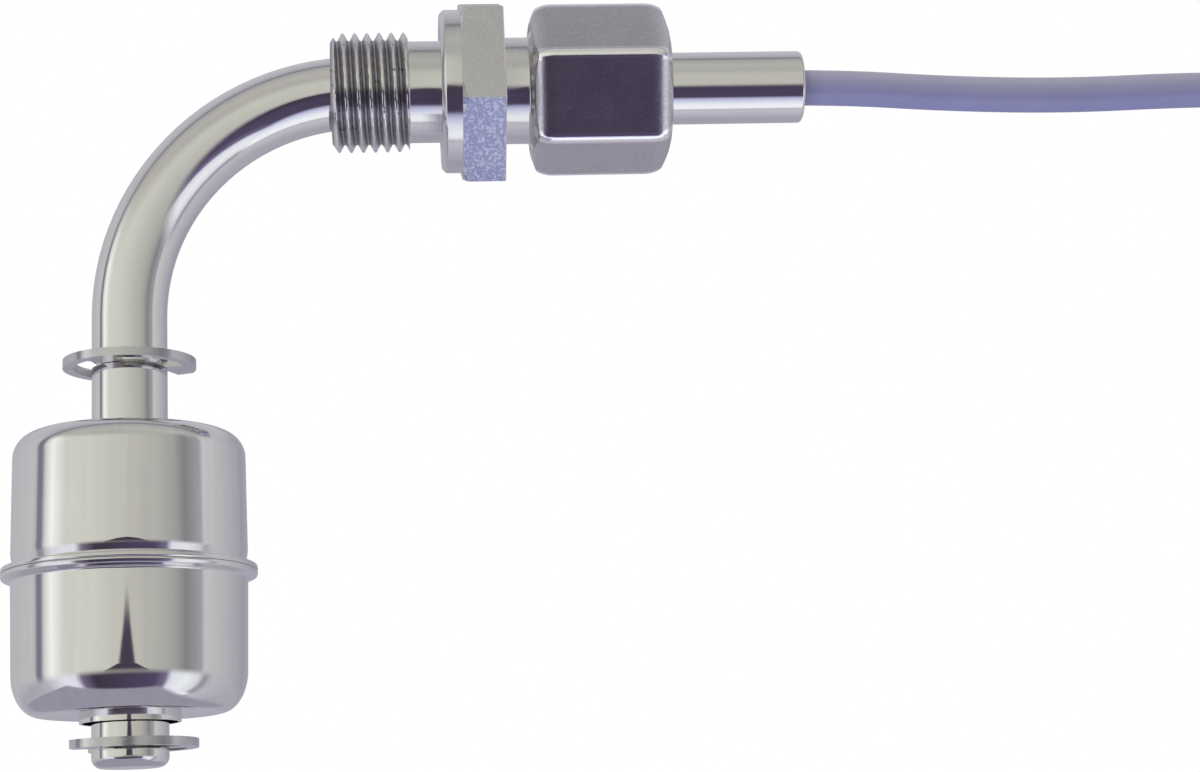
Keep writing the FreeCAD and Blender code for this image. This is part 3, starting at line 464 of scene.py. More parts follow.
fittingSizes = {
    "boreRadius": 4.25, "threadRadius": 6.5785, "threadDepth": 0.856, "threadPitch": 1.337,
    "threadStart": -8.5, "threadPhase": -7.54, "threadRows": 150, "leadRadius": 5.63, "leadLength": 0.65,
    "reliefRadius": 5.6, "faceAt": 3.5, "recessRadius": 7.3, "recessDepth": 0.3, "collarRadius": 9.0,
    "collarEdge": 0.48, "hexStart": 5.7, "hexEnd": 10.4, "hexFlat": 9.5, "hexTurn": 22.0,
    "hexFaceRise": 0.5, "hexBevelAngle": 35.0, "waistRadius": 5.88, "waistEnd": 13.2,
    "nutThreadRadius": 7.0, "bodyEnd": 20.4, "mouthRadius": 4.85, "coneDepth": 2.82,
    "edge": 0.12, "smallEdge": 0.1, "leadIn": 0.6, "boreJoin": (2.0, 2.05), "reliefStart": 0.05,
    "reliefEases": (0.2, 0.3), "waistEases": (0.25, 0.2), "flankSlope": 1.5, "flankStart": 0.25,
    "flankShare": 0.65, "hexInset": 0.02, "step": 2.0,
}
# how far inside each limit a face's middle lies before it takes that place's material
slotMargins = {"hexStart": 0.2, "hexEnd": 0.15, "hexFlat": 0.1, "bore": 0.3}


# radius of a rounded 55 degree thread: its height is a softened triangle wave of
# (x - phase) / pitch - angle / turn, so its crest runs round as a helix
def threadRows(sizes, angle):
    x = np.linspace(sizes["threadStart"], 0.0, sizes["threadRows"])[:, None]
    turn = (x - sizes["threadPhase"]) / sizes["threadPitch"] - angle / (2 * np.pi)
    saw = 1 - 2 * np.abs(turn - np.round(turn))
    flank = np.clip(sizes["flankSlope"] * saw - sizes["flankStart"], 0, 1)
    soft = 0.5 - 0.5 * np.cos(np.pi * saw)
    share = sizes["flankShare"]
    radius = sizes["threadRadius"] - sizes["threadDepth"] * (1 - share * flank - (1 - share) * soft)
    chamfer = sizes["leadRadius"] + (x - sizes["threadStart"]) * (
        (sizes["threadRadius"] - sizes["leadRadius"]) / sizes["leadLength"])
    radius = np.minimum(radius, chamfer)
    return np.broadcast_to(x, radius.shape), radius


# rows of one hexagonal prism: each angle has its own radius, flat / cos(angle from the flat's middle),
# and a cone that starts beyond the flats cuts the corners of one end
def hexRows(sizes, angle):
    away = (angle - math.radians(sizes["hexTurn"])) % (math.pi / 3) - math.pi / 6
    reach = sizes["hexFlat"] / np.cos(away)
    face, inset = sizes["hexFlat"] + sizes["hexFaceRise"], sizes["hexInset"]
    cut = np.maximum(reach - face, inset) * math.tan(math.radians(sizes["hexBevelAngle"]))
    start, end, edge = sizes["hexStart"], sizes["hexEnd"], sizes["edge"]
    along = [np.full_like(angle, start), start + cut, np.full_like(angle, end - edge),
             np.full_like(angle, end)]
    return np.stack(along), np.stack([np.minimum(reach - inset, face), reach, reach, reach - edge])


# material places: 1 and 2 on the flats, by the half turn that the face looks to, so that the flats facing
# down take the darker blue painted shade, 3 on the thread
def fittingSlots(sizes, middles, margins):
    x, y, z = (middles[:, k].astype(float) for k in range(3))
    outward = np.hypot(y, z)
    low = (sizes["hexStart"] + margins["hexStart"]) * millimetre
    high = (sizes["hexEnd"] - margins["hexEnd"]) * millimetre
    onHexagon = (x > low) & (x < high) & (outward > (sizes["hexFlat"] - margins["hexFlat"]) * millimetre)
    around = (np.degrees(np.arctan2(z, y)) - sizes["hexTurn"]) % 360.0
    onThread = (x < 0) & (outward > (sizes["boreRadius"] + margins["bore"]) * millimetre)
    return np.where(onHexagon, np.where(around < 180.0, 1, 2), np.where(onThread, 3, 0))


# one closed profile about the X axis: bore and end, thread, face and collar, hexagon, waist and cone
def makeFittingBody(sizes):
    angle = np.radians(np.arange(0, 360, sizes["step"]))[None, :]
    edge, small, leadIn = sizes["edge"], sizes["smallEdge"], sizes["leadIn"]
    start, bore, relief = sizes["threadStart"], sizes["boreRadius"], sizes["reliefRadius"]
    face, floor = sizes["faceAt"], sizes["faceAt"] + sizes["recessDepth"]
    collar, collarEdge = sizes["collarRadius"], sizes["collarEdge"]
    waist, waistEnd = sizes["waistRadius"], sizes["waistEnd"]
    nutThread, end = sizes["nutThreadRadius"], sizes["bodyEnd"]
    parts = [
        profileRows([(start + sizes["boreJoin"][0], bore), (start, bore, edge), (start, sizes["leadRadius"])],
                    angle.size),
        threadRows(sizes, angle),
        profileRows([
            (0.0, relief + edge), (sizes["reliefStart"], relief, sizes["reliefEases"][0]),
            (floor, relief, sizes["reliefEases"][1]),
            (floor, sizes["recessRadius"], edge), (face, sizes["recessRadius"], edge),
            (face, collar - collarEdge, edge), (face + collarEdge, collar, edge),
            (sizes["hexStart"], collar)], angle.size),
        hexRows(sizes, angle[0]),
        profileRows([
            (sizes["hexEnd"], waist + leadIn), (sizes["hexEnd"], waist, sizes["waistEases"][0]),
            (waistEnd, waist, sizes["waistEases"][1]),
            (waistEnd + leadIn, nutThread, small), (end - leadIn, nutThread, small),
            (end, nutThread - leadIn, small), (end, sizes["mouthRadius"], small),
            (end - sizes["coneDepth"], bore, small), (start + sizes["boreJoin"][1], bore)], angle.size),
    ]
    along = np.concatenate([part[0] for part in parts])
    radius = np.concatenate([part[1] for part in parts])
    piece = gridPiece("fittingBodyThreaded", turnAboutX(along, radius, angle), turnedSteel, "switch_body")
    for material in (flatSteel, shadedBlueFlatSteel, threadSteel):
        piece.data.materials.append(material)
    middles = np.empty(len(piece.data.polygons) * 3, np.float32)
    piece.data.polygons.foreach_get("center", middles)
    slots = fittingSlots(sizes, middles.reshape(-1, 3), slotMargins)
    piece.data.polygons.foreach_set("material_index", slots.astype(np.int32))
    return piece


fittingPiece = makeFittingBody(fittingSizes)
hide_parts("fitting_body")
print("fitting body cut with its thread")

nutSizes = {
    "start": 13.33, "end": 28.77, "flat": 8.35, "turn": 23.0, "edgeRound": 0.95, "endLength": 2.6,
    "endDepth": 1.45, "faceRadius": 7.0, "bevelSteepness": 2.8, "bevelLength": 0.7, "rimInset": 0.171,
    "threadRadius": 7.05, "threadLead": 0.6, "threadChamfer": (0.19, 0.41), "collarStart": 20.45,
    "shoulderStart": 22.3, "seatRadius": 5.65, "boreRadius": 4.15, "boreEdge": 0.15, "ease": 0.1,
    "wearAndHighlightReach": 1.3, "wearAndHighlightAngle": 1.6, "step": 0.75, "closeRows": (0.0, 0.5, 8), "nearRows": (0.56, 2.7, 28),
    "farRows": (3.1, 3.8, 5.0),
}


# how far the flats lie inside their full place, u from an end: a quarter of an ellipse
def endDrop(u, length, depth):
    away = np.clip((length - u) / length, 0, 1)
    return depth * (1 - np.sqrt(1 - away**2))


# hexagon with rounded corners: flat / cos(angle) along a flat, and the corner's arc near a vertex;
# the second result is the mask of edge wear and painted highlight, 1 on the arc and falling off beside it
# over the sizes' angle in degrees
def roundedHexagon(sizes, flat, angle):
    radius = sizes["edgeRound"]
    away = (angle + math.pi / 6) % (math.pi / 3) - math.pi / 6
    fromVertex = math.pi / 6 - np.abs(away)
    centre = (flat - radius) / math.cos(math.pi / 6)
    arc = centre * np.cos(fromVertex) + np.sqrt(np.maximum(radius**2 - (centre * np.sin(fromVertex))**2, 0))
    edge = np.arctan((flat - radius) * math.tan(math.pi / 6) / flat)
    beside = np.maximum(edge - np.abs(away), 0) / math.radians(sizes["wearAndHighlightAngle"])
    wornAndHighlit = np.clip(sizes["wearAndHighlightReach"] - beside, 0, 1)
    return np.where(np.abs(away) > edge, arc, flat / np.cos(away)), wornAndHighlit


# rounded hexagon rows from end to end, drawn in near both ends and cut by a cone, closed by the inside
def makeNut(sizes):
    angle = np.radians(np.arange(0, 360, sizes["step"]))[None, :]
    near = np.concatenate([np.linspace(*sizes["closeRows"]), np.linspace(*sizes["nearRows"]),
                           sizes["farRows"]])
    front = np.concatenate([[sizes["rimInset"]], near[near > sizes["rimInset"]]])
    along = np.concatenate([sizes["start"] + front, sizes["end"] - near[::-1]])[:, None]
    u = np.minimum(along - sizes["start"], sizes["end"] - along)
    flat = sizes["flat"] - endDrop(u, sizes["endLength"], sizes["endDepth"])
    radius, wornAndHighlit = roundedHexagon(sizes, flat, angle - math.radians(sizes["turn"]))
    bevel = np.where(u <= sizes["bevelLength"], sizes["faceRadius"] + sizes["bevelSteepness"] * u, np.inf)
    radius = np.minimum(radius, bevel)
    thread, seat, bore, ease = sizes["threadRadius"], sizes["seatRadius"], sizes["boreRadius"], sizes["ease"]
    start, end, boreEdge = sizes["start"], sizes["end"], sizes["boreEdge"]
    chamferAlong, chamferOut = sizes["threadChamfer"]
    insideRows, insideRadii = profileRows([
        (end, bore + boreEdge), (end - boreEdge, bore), (sizes["shoulderStart"] + seat - bore, bore, ease),
        (sizes["shoulderStart"], seat, ease), (sizes["collarStart"] + thread - seat, seat, ease),
        (sizes["collarStart"], thread, ease), (start + sizes["threadLead"], thread, ease),
        (start + chamferAlong, thread + chamferOut)], angle.size)
    rows = np.concatenate([np.broadcast_to(along, radius.shape), insideRows])
    radii = np.concatenate([radius, insideRadii])
    wearAndHighlight = np.concatenate([wornAndHighlit, np.zeros(insideRadii.shape)])
    nut = gridPiece("unionNutRounded", turnAboutX(rows, radii, angle), nutSteel, "switch_body")
    # marks the nut's rounded edges for the brighter colour: partly real wear, partly a painted highlight
    layer = nut.data.attributes.new("wearAndHighlight", "FLOAT", "POINT")
    layer.data.foreach_set("value", wearAndHighlight.reshape(-1).astype(np.float32))
    return nut


nutPiece = makeNut(nutSizes)
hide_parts("union_nut")
print("union nut made")

floatSizes = {
    "axis": -30.6, "seam": -52.7, "outer": 12.31, "endOuter": 12.15, "wall": 0.5, "half": 14.8, "gap": 0.02,
    "lip": 13.37, "lipRoot": 13.27, "lipSide": 0.58, "lipEdge": 0.1, "lipFlat": 0.14, "neck": 5.28,
    "neckEdge": 0.15, "dish": 0.35, "dishEase": 0.08, "land": 0.1, "step": 2.0, "arcSteps": 14,
    "arcShare": 0.97,
}
# towardsWall lists (height above the seam, depth inside the wall, ease) from the lip to the wall
shellShapes = {
    "floatUpperDrawn": {"node": "float_upper_shell", "side": 1, "rise": 2.6, "shoulder": 2.45,
                        "rootEase": 0.14, "towardsWall": [(0.6, 0.3), (1.9, 0.0, 0.45)]},
    "floatLowerDrawn": {"node": "float_lower_shell", "side": -1, "rise": 4.2, "shoulder": 2.75,
                        "rootEase": 0.12, "towardsWall": [(0.86, 0.0, 0.2)]},
}


# one drawn half about the float's axis: lip, wall, a corner that rises over rise and comes in by shoulder,
# the dished end, the neck, and the same way back inside at the wall's thickness
def makeShell(name, shape, sizes):
    outer, end, wall, top = sizes["outer"], sizes["endOuter"], sizes["wall"], sizes["half"]
    neck, dished, flatEase = sizes["neck"], sizes["half"] - sizes["dish"], sizes["dishEase"]
    shoulder, edge = shape["shoulder"], sizes["lipEdge"]
    flat = end - shoulder - sizes["land"]
    corners = [
        (sizes["gap"], outer - wall), (sizes["gap"], sizes["lip"] - edge),
        (sizes["lipFlat"], sizes["lip"], edge),
        (sizes["lipSide"], sizes["lipRoot"], shape["rootEase"]),
        *((height, outer - inside, *ease) for height, inside, *ease in shape["towardsWall"]),
        (top, end, shape["rise"], shoulder), (top, flat, flatEase), (dished, neck + sizes["neckEdge"], edge),
        (dished - sizes["neckEdge"], neck), (dished - wall, neck, edge), (top - wall, flat, flatEase),
        (top - wall, end - wall, shoulder - wall), (sizes["gap"], outer - wall),
    ]
    line = easedProfile(corners, steps=sizes["arcSteps"], share=sizes["arcShare"])[:-1]
    height = sizes["seam"] + shape["side"] * line[:, :1]
    angle = np.radians(np.arange(0, 360, sizes["step"]))[None, :] * shape["side"]
    points = turnAboutZ(height, line[:, 1:2], angle, sizes["axis"])
    shell = gridPiece(name, points, floatSteel, "float")
    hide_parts(shape["node"])


for shellName, shellShape in shellShapes.items():
    makeShell(shellName, shellShape, floatSizes)
print("float shells made")

cableSizes = {
    "diameter": 4.0, "coilX": 141.8, "coilZ": -38.0, "outerTurn": 24.0, "innerTurn": 19.9, "sideStep": 4.1,
    "pointsPerTurn": 16, "turns": 5, "startAngle": 180.0, "stepAngles": (345.0, 665.0, 985.0, 1305.0, 1625.0),
    "stepWidth": 34.0, "splineGain": 1.0196,
}
# axis of the laid stretch, as in the part's source, and of the free end
cableRoute = [
    (33.5, 0.0, 0.0), (47.0, 0.0, 0.0), (60.5, 0.0, -1.05), (74.0, 0.0, -1.5), (88.0, 0.0, -1.0),
    (100.0, 0.0, -1.1), (111.2, 0.0, -7.7), (117.8, 0.0, -18.9), (117.8, 0.0, -32.0), (117.6, 0.0, -38.0),
]
tailRoute = [(117.6, -4.1, -38.0), (117.8, -4.1, -44.0), (118.1, -4.1, -50.5), (117.6, -4.0, -55.5)]


# a packed winding: angle grows with the turns, and radius and side step over from slot to slot
# at a place that moves 40 degrees back each turn, so that no turn crosses another;
# splineGain sets the points further out, because the smooth line cuts inside them
def coilPoints(sizes):
    count = sizes["pointsPerTurn"] * sizes["turns"]
    turned = np.arange(1, count) * (360.0 / sizes["pointsPerTurn"])
    outer, inner = sizes["outerTurn"], sizes["innerTurn"]
    slots = np.array([(outer, 0.0), (outer, 1.0), (inner, 1.0), (inner, 0.0), (inner, -1.0), (outer, -1.0)])
    stepped = (turned[:, None] - np.array(sizes["stepAngles"])[None, :]) / sizes["stepWidth"] + 0.5
    progress = np.clip(stepped, 0, 1).sum(1)
    radius = np.interp(progress, np.arange(len(slots)), slots[:, 0]) * sizes["splineGain"]
    side = np.interp(progress, np.arange(len(slots)), slots[:, 1]) * sizes["sideStep"]
    angle = np.radians(sizes["startAngle"] + turned)
    x = sizes["coilX"] + radius * np.cos(angle)
    z = sizes["coilZ"] + radius * np.sin(angle)
    return np.stack([x, side, z], 1)


# one smooth line through the laid stretch, the winding and the free end, with a round section
def makeCable(sizes):
    route = np.concatenate([np.array(cableRoute), coilPoints(sizes), np.array(tailRoute)]) * millimetre
    curve = bpy.data.curves.new("supplyCable", "CURVE")
    curve.dimensions = "3D"
    curve.bevel_depth = sizes["diameter"] / 2 * millimetre
    curve.bevel_resolution = 7
    curve.resolution_u = 8
    curve.use_fill_caps = True
    spline = curve.splines.new("NURBS")
    spline.points.add(len(route) - 1)
    spline.points.foreach_set("co", np.column_stack([route, np.ones(len(route))]).reshape(-1))
    spline.order_u = 3
    spline.use_endpoint_u = True
    cable = bpy.data.objects.new("supplyCable", curve)
    bpy.context.scene.collection.objects.link(cable)
    curve.materials.append(cableJacket)
    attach(cable, "switch_body")
    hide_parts("cable", "cable_coil", "cable_tail")
    return cable


# headRows lists (place across the head, share of its outline, share of its slot), once round its section
tieSizes = {
    "turnRadius": 22.0, "reach": 4.5, "side": 6.55, "strapWidth": 2.6, "strapThickness": 0.8,
    "headLow": 25.98, "headHigh": 28.15, "headHalf": 1.75, "slotHalf": 1.4, "slotReach": 0.47,
    "loopPower": 0.32, "strapPower": 0.35, "headPower": 0.4, "loopSteps": 120, "sectionSteps": 24,
    "headRows": [(-1.7, 0.97, 0.0), (-1.55, 1.0, 0.0), (1.55, 1.0, 0.0), (1.7, 0.97, 0.0),
                 (1.7, 0.0, 1.08), (1.55, 0.0, 1.0), (-1.55, 0.0, 1.0), (-1.7, 0.0, 1.08)],
}


# a rounded square's outline: cosine and sine, each raised to a power below one
def roundedSquare(angle, power):
    cosine, sine = np.cos(angle), np.sin(angle)
    return np.sign(cosine) * np.abs(cosine)**power, np.sign(sine) * np.abs(sine)**power


# the strap's own rounded section, carried round the winding's rounded section
def makeStrap(sizes, coil):
    loop = np.linspace(0, 2 * np.pi, sizes["loopSteps"], endpoint=False)[:, None]
    section = np.linspace(0, 2 * np.pi, sizes["sectionSteps"], endpoint=False)[None, :]
    out, across = roundedSquare(loop, sizes["loopPower"])
    away, wide = roundedSquare(section, sizes["strapPower"])
    thick = away * sizes["strapThickness"] / 2
    radial = sizes["turnRadius"] + out * (sizes["reach"] + thick)
    side = across * (sizes["side"] + thick)
    up = np.broadcast_to(wide * sizes["strapWidth"] / 2, radial.shape)
    points = np.stack([coil["coilX"] + radial, side, coil["coilZ"] + up], -1) * millimetre
    return gridPiece("coilTieStrap", points, tiePlastic, "switch_body")


# a rounded block with a slot through it: rounded squares along its width, back through the slot
def makeTieHead(sizes, coil):
    section = np.linspace(0, 2 * np.pi, sizes["sectionSteps"], endpoint=False)
    middle = sizes["turnRadius"] + sizes["reach"]
    outer = (sizes["headHigh"] - sizes["headLow"]) / 2
    shift = (sizes["headHigh"] + sizes["headLow"]) / 2 - middle
    away, wide = roundedSquare(section, sizes["headPower"])
    ringRows = []
    for place, outerShare, slotShare in sizes["headRows"]:
        if outerShare:
            x, z = shift + away * outer * outerShare, wide * sizes["headHalf"] * outerShare
        else:
            x, z = away * sizes["slotReach"] * slotShare, wide * sizes["slotHalf"] * slotShare
        ringRows.append(np.stack([coil["coilX"] + middle + x, np.full_like(x, place), coil["coilZ"] + z], -1))
    return gridPiece("coilTieHead", np.stack(ringRows) * millimetre, tiePlastic, "switch_body")


tieStrap = makeStrap(tieSizes, cableSizes)
tieHead = makeTieHead(tieSizes, cableSizes)
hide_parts("coil_tie")
cable = makeCable(cableSizes)
# the steel mirrors neither the cable nor what is on it, so the put-away coil draws no line on the float
endNodes = [nodes[name] for name in nodes if name.startswith(("tail_", "tinned_"))]
for piece in (cable, tieStrap, tieHead, *endNodes):
    piece.visible_glossy = False
print("cable laid")

cameraPlace = {"location": (-2.556, -256.435, -87.303), "yaw": -5.004, "pitch": 11.748, "roll": 2.438,
               "lens": 72.53, "sensor": 36.0, "near": 0.01, "far": 20.0}  # near and far in metres


# looks along +Y, turned by roll about Y, then pitch about X, then yaw about Z
def makeCamera(place):
    data = bpy.data.cameras.new("viewCamera")
    data.lens = place["lens"]
    data.sensor_width = place["sensor"]
    data.clip_start = place["near"]
    data.clip_end = place["far"]
    camera = bpy.data.objects.new("viewCamera", data)
    bpy.context.scene.collection.objects.link(camera)
    yaw, pitch, roll = (math.radians(place[key]) for key in ("yaw", "pitch", "roll"))
    turn = Matrix.Rotation(yaw, 3, "Z") @ Matrix.Rotation(pitch, 3, "X") @ Matrix.Rotation(roll, 3, "Y")
    right, forward, up = (turn.col[k] for k in range(3))
    frameTurn = Matrix((right, up, -forward)).transposed().to_4x4()
    camera.matrix_world = Matrix.Translation(Vector(place["location"]) * millimetre) @ frameTurn
    bpy.context.scene.camera = camera


makeCamera(cameraPlace)

# what polished steel mirrors of the light tent, as (share of a turn, colour). In the ring and the skirt
# the turn goes round the upright axis: 0.25 is the stem's side, 0.5 the camera's, 0.75 the cable's.
# The ring is at eye level, and the skirt below it has the dark opening that the camera looks through.
tentRing = [
    (0.0, (0.42, 0.41, 0.48)), (0.1, (0.56, 0.54, 0.59)), (0.215, (0.65, 0.64, 0.655)),
    (0.229, (0.62, 0.61, 0.63)), (0.240, (0.24, 0.23, 0.28)), (0.255, (0.25, 0.24, 0.30)),
    (0.268, (0.78, 0.78, 0.77)), (0.292, (1.14, 1.14, 1.12)), (0.316, (0.92, 0.92, 0.90)),
    (0.337, (0.80, 0.80, 0.73)), (0.408, (0.77, 0.77, 0.70)), (0.486, (0.69, 0.69, 0.62)),
    (0.562, (0.58, 0.57, 0.54)), (0.601, (0.53, 0.53, 0.49)), (0.641, (0.43, 0.42, 0.415)),
    (0.669, (0.29, 0.28, 0.30)), (0.707, (0.40, 0.39, 0.42)), (0.719, (0.45, 0.44, 0.47)),
    (0.729, (0.70, 0.68, 0.71)), (0.78, (0.61, 0.60, 0.62)), (0.844, (0.51, 0.50, 0.56)),
    (0.906, (0.40, 0.39, 0.455)), (1.0, (0.42, 0.41, 0.48)),
]
tentSkirt = [
    (0.0, (0.45, 0.43, 0.52)), (0.217, (0.50, 0.49, 0.56)), (0.267, (0.58, 0.56, 0.65)),
    (0.327, (0.98, 0.95, 1.10)), (0.362, (0.95, 0.92, 1.08)), (0.382, (0.20, 0.17, 0.26)),
    (0.417, (0.06, 0.045, 0.075)), (0.517, (0.08, 0.065, 0.12)), (0.587, (0.10, 0.08, 0.15)),
    (0.617, (0.22, 0.19, 0.32)), (0.632, (0.90, 0.92, 1.05)), (0.677, (1.05, 1.08, 1.12)),
    (0.717, (0.85, 0.86, 0.92)), (0.737, (0.36, 0.35, 0.43)), (0.767, (0.62, 0.61, 0.67)),
    (0.867, (0.50, 0.49, 0.56)), (1.0, (0.45, 0.43, 0.52)),
]
# The arch goes round the X axis: 0.25 is straight down, 0.5 towards the camera, 0.75 straight up.
tentArch = [
    (0.0, (0.42, 0.41, 0.47)), (0.067, (0.40, 0.39, 0.45)), (0.125, (0.47, 0.455, 0.56)),
    (0.172, (0.56, 0.54, 0.64)), (0.208, (0.62, 0.61, 0.70)), (0.236, (0.68, 0.66, 0.75)),
    (0.247, (0.55, 0.53, 0.62)), (0.258, (1.08, 1.10, 1.15)), (0.283, (1.12, 1.14, 1.20)),
    (0.311, (0.95, 1.00, 1.12)), (0.336, (0.74, 0.76, 1.00)), (0.361, (0.46, 0.44, 0.68)),
    (0.374, (0.15, 0.12, 0.21)), (0.48, (0.56, 0.56, 0.51)), (0.611, (0.53, 0.52, 0.49)),
    (0.667, (0.57, 0.56, 0.52)), (0.711, (0.50, 0.49, 0.49)), (0.731, (0.43, 0.42, 0.44)),
    (0.742, (0.29, 0.28, 0.30)), (0.753, (0.30, 0.29, 0.31)), (0.762, (0.46, 0.45, 0.49)),
    (0.806, (0.58, 0.565, 0.62)), (0.894, (0.62, 0.61, 0.65)), (1.0, (0.42, 0.41, 0.47)),
]
# where one part of the tent passes into the next, in degrees of height; and the light on matt surfaces,
# which is near neutral from above and tinted blue from below, by the height of its direction's unit vector
tentParts = {
    "skirt": (-3.0, -17.0), "archUp": (22.0, 42.0), "archDown": (-44.0, -52.0), "glowTurn": (0.2, -0.6),
    "glowAbove": (0.74, 0.73, 0.74), "glowBelow": (1.10, 1.14, 1.95), "glowStrength": 0.8,
}


# a colour ramp with one stop for each (position, colour)
def addRamp(tree, bands, place):
    ramp = addNode(tree, "ShaderNodeValToRGB", links={0: place})
    while len(ramp.color_ramp.elements) < len(bands):
        ramp.color_ramp.elements.new(0.5)
    for element, (at, colour) in zip(ramp.color_ramp.elements, bands):
        element.position = at
        element.color = (*colour, 1.0)
    return ramp.outputs[0]


# the angle of (across, towards) as a share of a turn, with 0.5 towards the camera
def turnShare(tree, across, towards):
    angle = mathNode(tree, "ARCTAN2", across, towards)
    return mathNode(tree, "MULTIPLY_ADD", angle, 0.5 / math.pi, 0.5)


# steel mirrors the tent, the camera sees plain white, and matt surfaces are lit by the soft glow
def makeWorld(parts):
    world = bpy.data.worlds.new("lightTent")
    bpy.context.scene.world = world
    world.use_nodes = True
    tree = world.node_tree
    tree.nodes.clear()
    output = tree.nodes.new("ShaderNodeOutputWorld")
    ray = tree.nodes.new("ShaderNodeLightPath")
    direction = tree.nodes.new("ShaderNodeTexCoord").outputs["Generated"]
    x, y, z = addNode(tree, "ShaderNodeSeparateXYZ", links={0: direction}).outputs
    towards = mathNode(tree, "MULTIPLY", y, -1.0)
    around = turnShare(tree, x, towards)
    height = mathNode(tree, "MULTIPLY", mathNode(tree, "ARCSINE", z), 180.0 / math.pi)
    low = mixColour(tree, easeBetween(tree, height, *parts["skirt"]), addRamp(tree, tentRing, around),
                    addRamp(tree, tentSkirt, around))
    steep = mathNode(tree, "MAXIMUM", easeBetween(tree, height, *parts["archUp"]),
                     easeBetween(tree, height, *parts["archDown"]))
    arch = addRamp(tree, tentArch, turnShare(tree, z, towards))
    glow = mixColour(tree, easeBetween(tree, z, *parts["glowTurn"]), parts["glowAbove"], parts["glowBelow"])
    mirrored = addNode(tree, "ShaderNodeBackground", {"Strength": 1.0},
                       {"Color": mixColour(tree, steep, low, arch)})
    white = addNode(tree, "ShaderNodeBackground", {"Color": (1.0, 1.0, 1.0, 1.0), "Strength": 1.0})
    soft = addNode(tree, "ShaderNodeBackground", {"Strength": parts["glowStrength"]}, {"Color": glow})
    lit = addNode(tree, "ShaderNodeMixShader", links={0: ray.outputs["Is Glossy Ray"], 1: soft.outputs[0],
                                                      2: mirrored.outputs[0]})
    shown = addNode(tree, "ShaderNodeMixShader", links={0: ray.outputs["Is Camera Ray"], 1: lit.outputs[0],
                                                        2: white.outputs[0]})
    tree.links.new(shown.outputs[0], output.inputs["Surface"])


makeWorld(tentParts)


# a flat stage piece from four corners in metres
def stageSheet(name, corners):
    mesh = bpy.data.meshes.new(name)
    mesh.from_pydata(corners, [], [(0, 1, 2, 3)])
    sheet = bpy.data.objects.new(name, mesh)
    bpy.context.scene.collection.objects.link(sheet)
    return sheet


# a flat card that only mirrors see; shadeOf gives its soft-edged mask from the place in millimetres
def addMirrorCard(name, corners, colour, shadeOf):
    card = stageSheet(name, [[value * millimetre for value in corner] for corner in corners])
    material, tree, shader, place = startMaterial(name + "Shade", {})
    inMillimetres = addNode(tree, "ShaderNodeVectorMath", {1: (1000.0, 1000.0, 1000.0)}, {0: place},
                            operation="MULTIPLY")
    x, y, z = addNode(tree, "ShaderNodeSeparateXYZ", links={0: inMillimetres.outputs[0]}).outputs
    shade = addNode(tree, "ShaderNodeEmission", {"Color": (*colour, 1.0)})
    clear = tree.nodes.new("ShaderNodeBsdfTransparent")
    mixed = addNode(tree, "ShaderNodeMixShader",
                    links={0: shadeOf(tree, x, y, z), 1: clear.outputs[0], 2: shade.outputs[0]})
    tree.links.new(mixed.outputs[0], tree.nodes["Material Output"].inputs["Surface"])
    tree.nodes.remove(shader)
    card.data.materials.append(material)
    card.visible_camera = False
    card.visible_diffuse = False
    card.visible_transmission = False
    card.visible_shadow = False


# the dark front of the camera, an upright card: its half width grows slowly from its top to its neck,
# faster from flareTop to flareBottom, and it fades out from fadeFrom to its bottom
lensCard = {
    "left": -130.0, "right": 100.0, "bottom": -130.0, "top": -38.0, "depth": -262.0, "middle": -16.0,
    "topHalf": 2.0, "neckHalf": 30.0, "neck": -56.0, "flareTop": -46.0, "flareBottom": -100.0, "flare": 70.0,
    "softSide": 6.0, "softTop": 9.0, "fadeFrom": -75.0, "colour": (0.07, 0.055, 0.09),
}


# 1 inside the card's outline and 0 outside, eased over softSide, softTop and the fade
def lensShade(tree, x, y, z):
    card = lensCard
    upper = addNode(tree, "ShaderNodeMapRange", {"From Min": card["top"], "From Max": card["neck"],
                                                 "To Min": card["topHalf"], "To Max": card["neckHalf"]},
                    {"Value": z}).outputs[0]
    lower = addNode(tree, "ShaderNodeMapRange", {"From Min": card["flareTop"],
                                                 "From Max": card["flareBottom"],
                                                 "To Max": card["flare"]}, {"Value": z}).outputs[0]
    half = mathNode(tree, "ADD", upper, lower)
    away = mathNode(tree, "ABSOLUTE", mathNode(tree, "SUBTRACT", x, card["middle"]))
    beyond = mathNode(tree, "SUBTRACT", away, half)
    sides = easeBetween(tree, beyond, card["softSide"], -card["softSide"])
    ends = mathNode(tree, "MULTIPLY", easeBetween(tree, z, card["top"], card["top"] - card["softTop"]),
                    easeBetween(tree, z, card["bottom"], card["fadeFrom"]))
    return mathNode(tree, "MULTIPLY", sides, ends)


lensCorners = [(lensCard[side], lensCard["depth"], lensCard[end]) for side, end in (
    ("left", "bottom"), ("right", "bottom"), ("right", "top"), ("left", "top"))]
addMirrorCard("lensCard", lensCorners, lensCard["colour"], lensShade)

# the shaded table top under the float, a level card
tableCard = {"left": -90.0, "right": 0.0, "near": -43.0, "far": 60.0, "level": -95.0, "soft": 9.0,
             "colour": (0.37, 0.355, 0.45)}


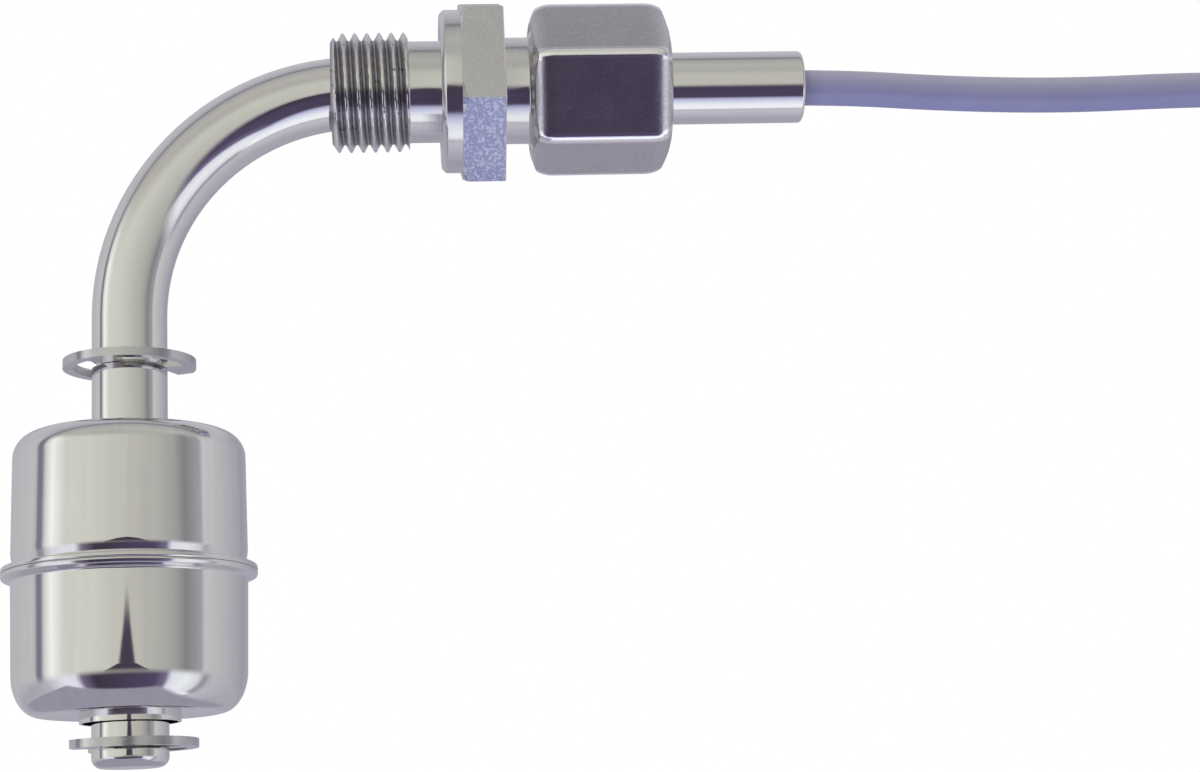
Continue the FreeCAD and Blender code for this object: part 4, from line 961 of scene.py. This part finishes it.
# 1 on the card and 0 past its right and near edges, eased over soft
def tableShade(tree, x, y, z):
    across = easeBetween(tree, x, tableCard["right"], tableCard["right"] - tableCard["soft"])
    return mathNode(tree, "MULTIPLY", across,
                    easeBetween(tree, y, tableCard["near"], tableCard["near"] + tableCard["soft"]))


tableCorners = [(tableCard[side], tableCard[end], tableCard["level"]) for side, end in (
    ("left", "near"), ("right", "near"), ("right", "far"), ("left", "far"))]
addMirrorCard("tableCard", tableCorners, tableCard["colour"], tableShade)

floorSizes = {"half": 3.0, "level": -0.16, "cloud": 4.0, "detail": 3.0, "dark": (0.80, 0.80, 0.81),
              "light": (0.84, 0.84, 0.85), "rough": 0.9}  # half and level in metres


# a level square of pale paint, its colour varied by wide noise
def makeFloor(sizes):
    half, level = sizes["half"], sizes["level"]
    floor = stageSheet("paleFloor", [(-half, -half, level), (half, -half, level), (half, half, level),
                                     (-half, half, level)])
    material, tree, shader, place = startMaterial("paleFloorPaint", {"Roughness": sizes["rough"]})
    cloud = noiseOn(tree, place, sizes["cloud"], sizes["detail"])
    colour = mixColour(tree, cloud, sizes["dark"], sizes["light"])
    tree.links.new(colour, shader.inputs["Base Color"])
    floor.data.materials.append(material)
    floor.visible_glossy = False
    floor.visible_diffuse = False


makeFloor(floorSizes)

lampSet = {  # places and sizes in metres, power in watts
    "topSoftbox": {"place": (0.0, -0.2, 0.9), "size": (1.0, 0.8), "power": 7.0, "colour": (1.0, 0.99, 0.96)},
    "frontSoftbox": {"place": (-0.7, -0.8, 0.3), "size": (0.6, 0.8), "power": 1.5,
                     "colour": (1.0, 0.99, 0.97)},
}


# a rectangular lamp that faces the origin and that mirrors don't see
def addLamp(name, look):
    data = bpy.data.lights.new(name, "AREA")
    data.shape = "RECTANGLE"
    data.size, data.size_y = look["size"]
    data.energy = look["power"]
    data.color = look["colour"]
    lamp = bpy.data.objects.new(name, data)
    bpy.context.scene.collection.objects.link(lamp)
    lamp.location = look["place"]
    lamp.rotation_euler = (-Vector(look["place"])).to_track_quat("-Z", "Y").to_euler()
    lamp.visible_glossy = False


for lampName, lampLook in lampSet.items():
    addLamp(lampName, lampLook)
print("camera, lamps and floor in place")

bpy.context.scene.view_settings.view_transform = "Standard"
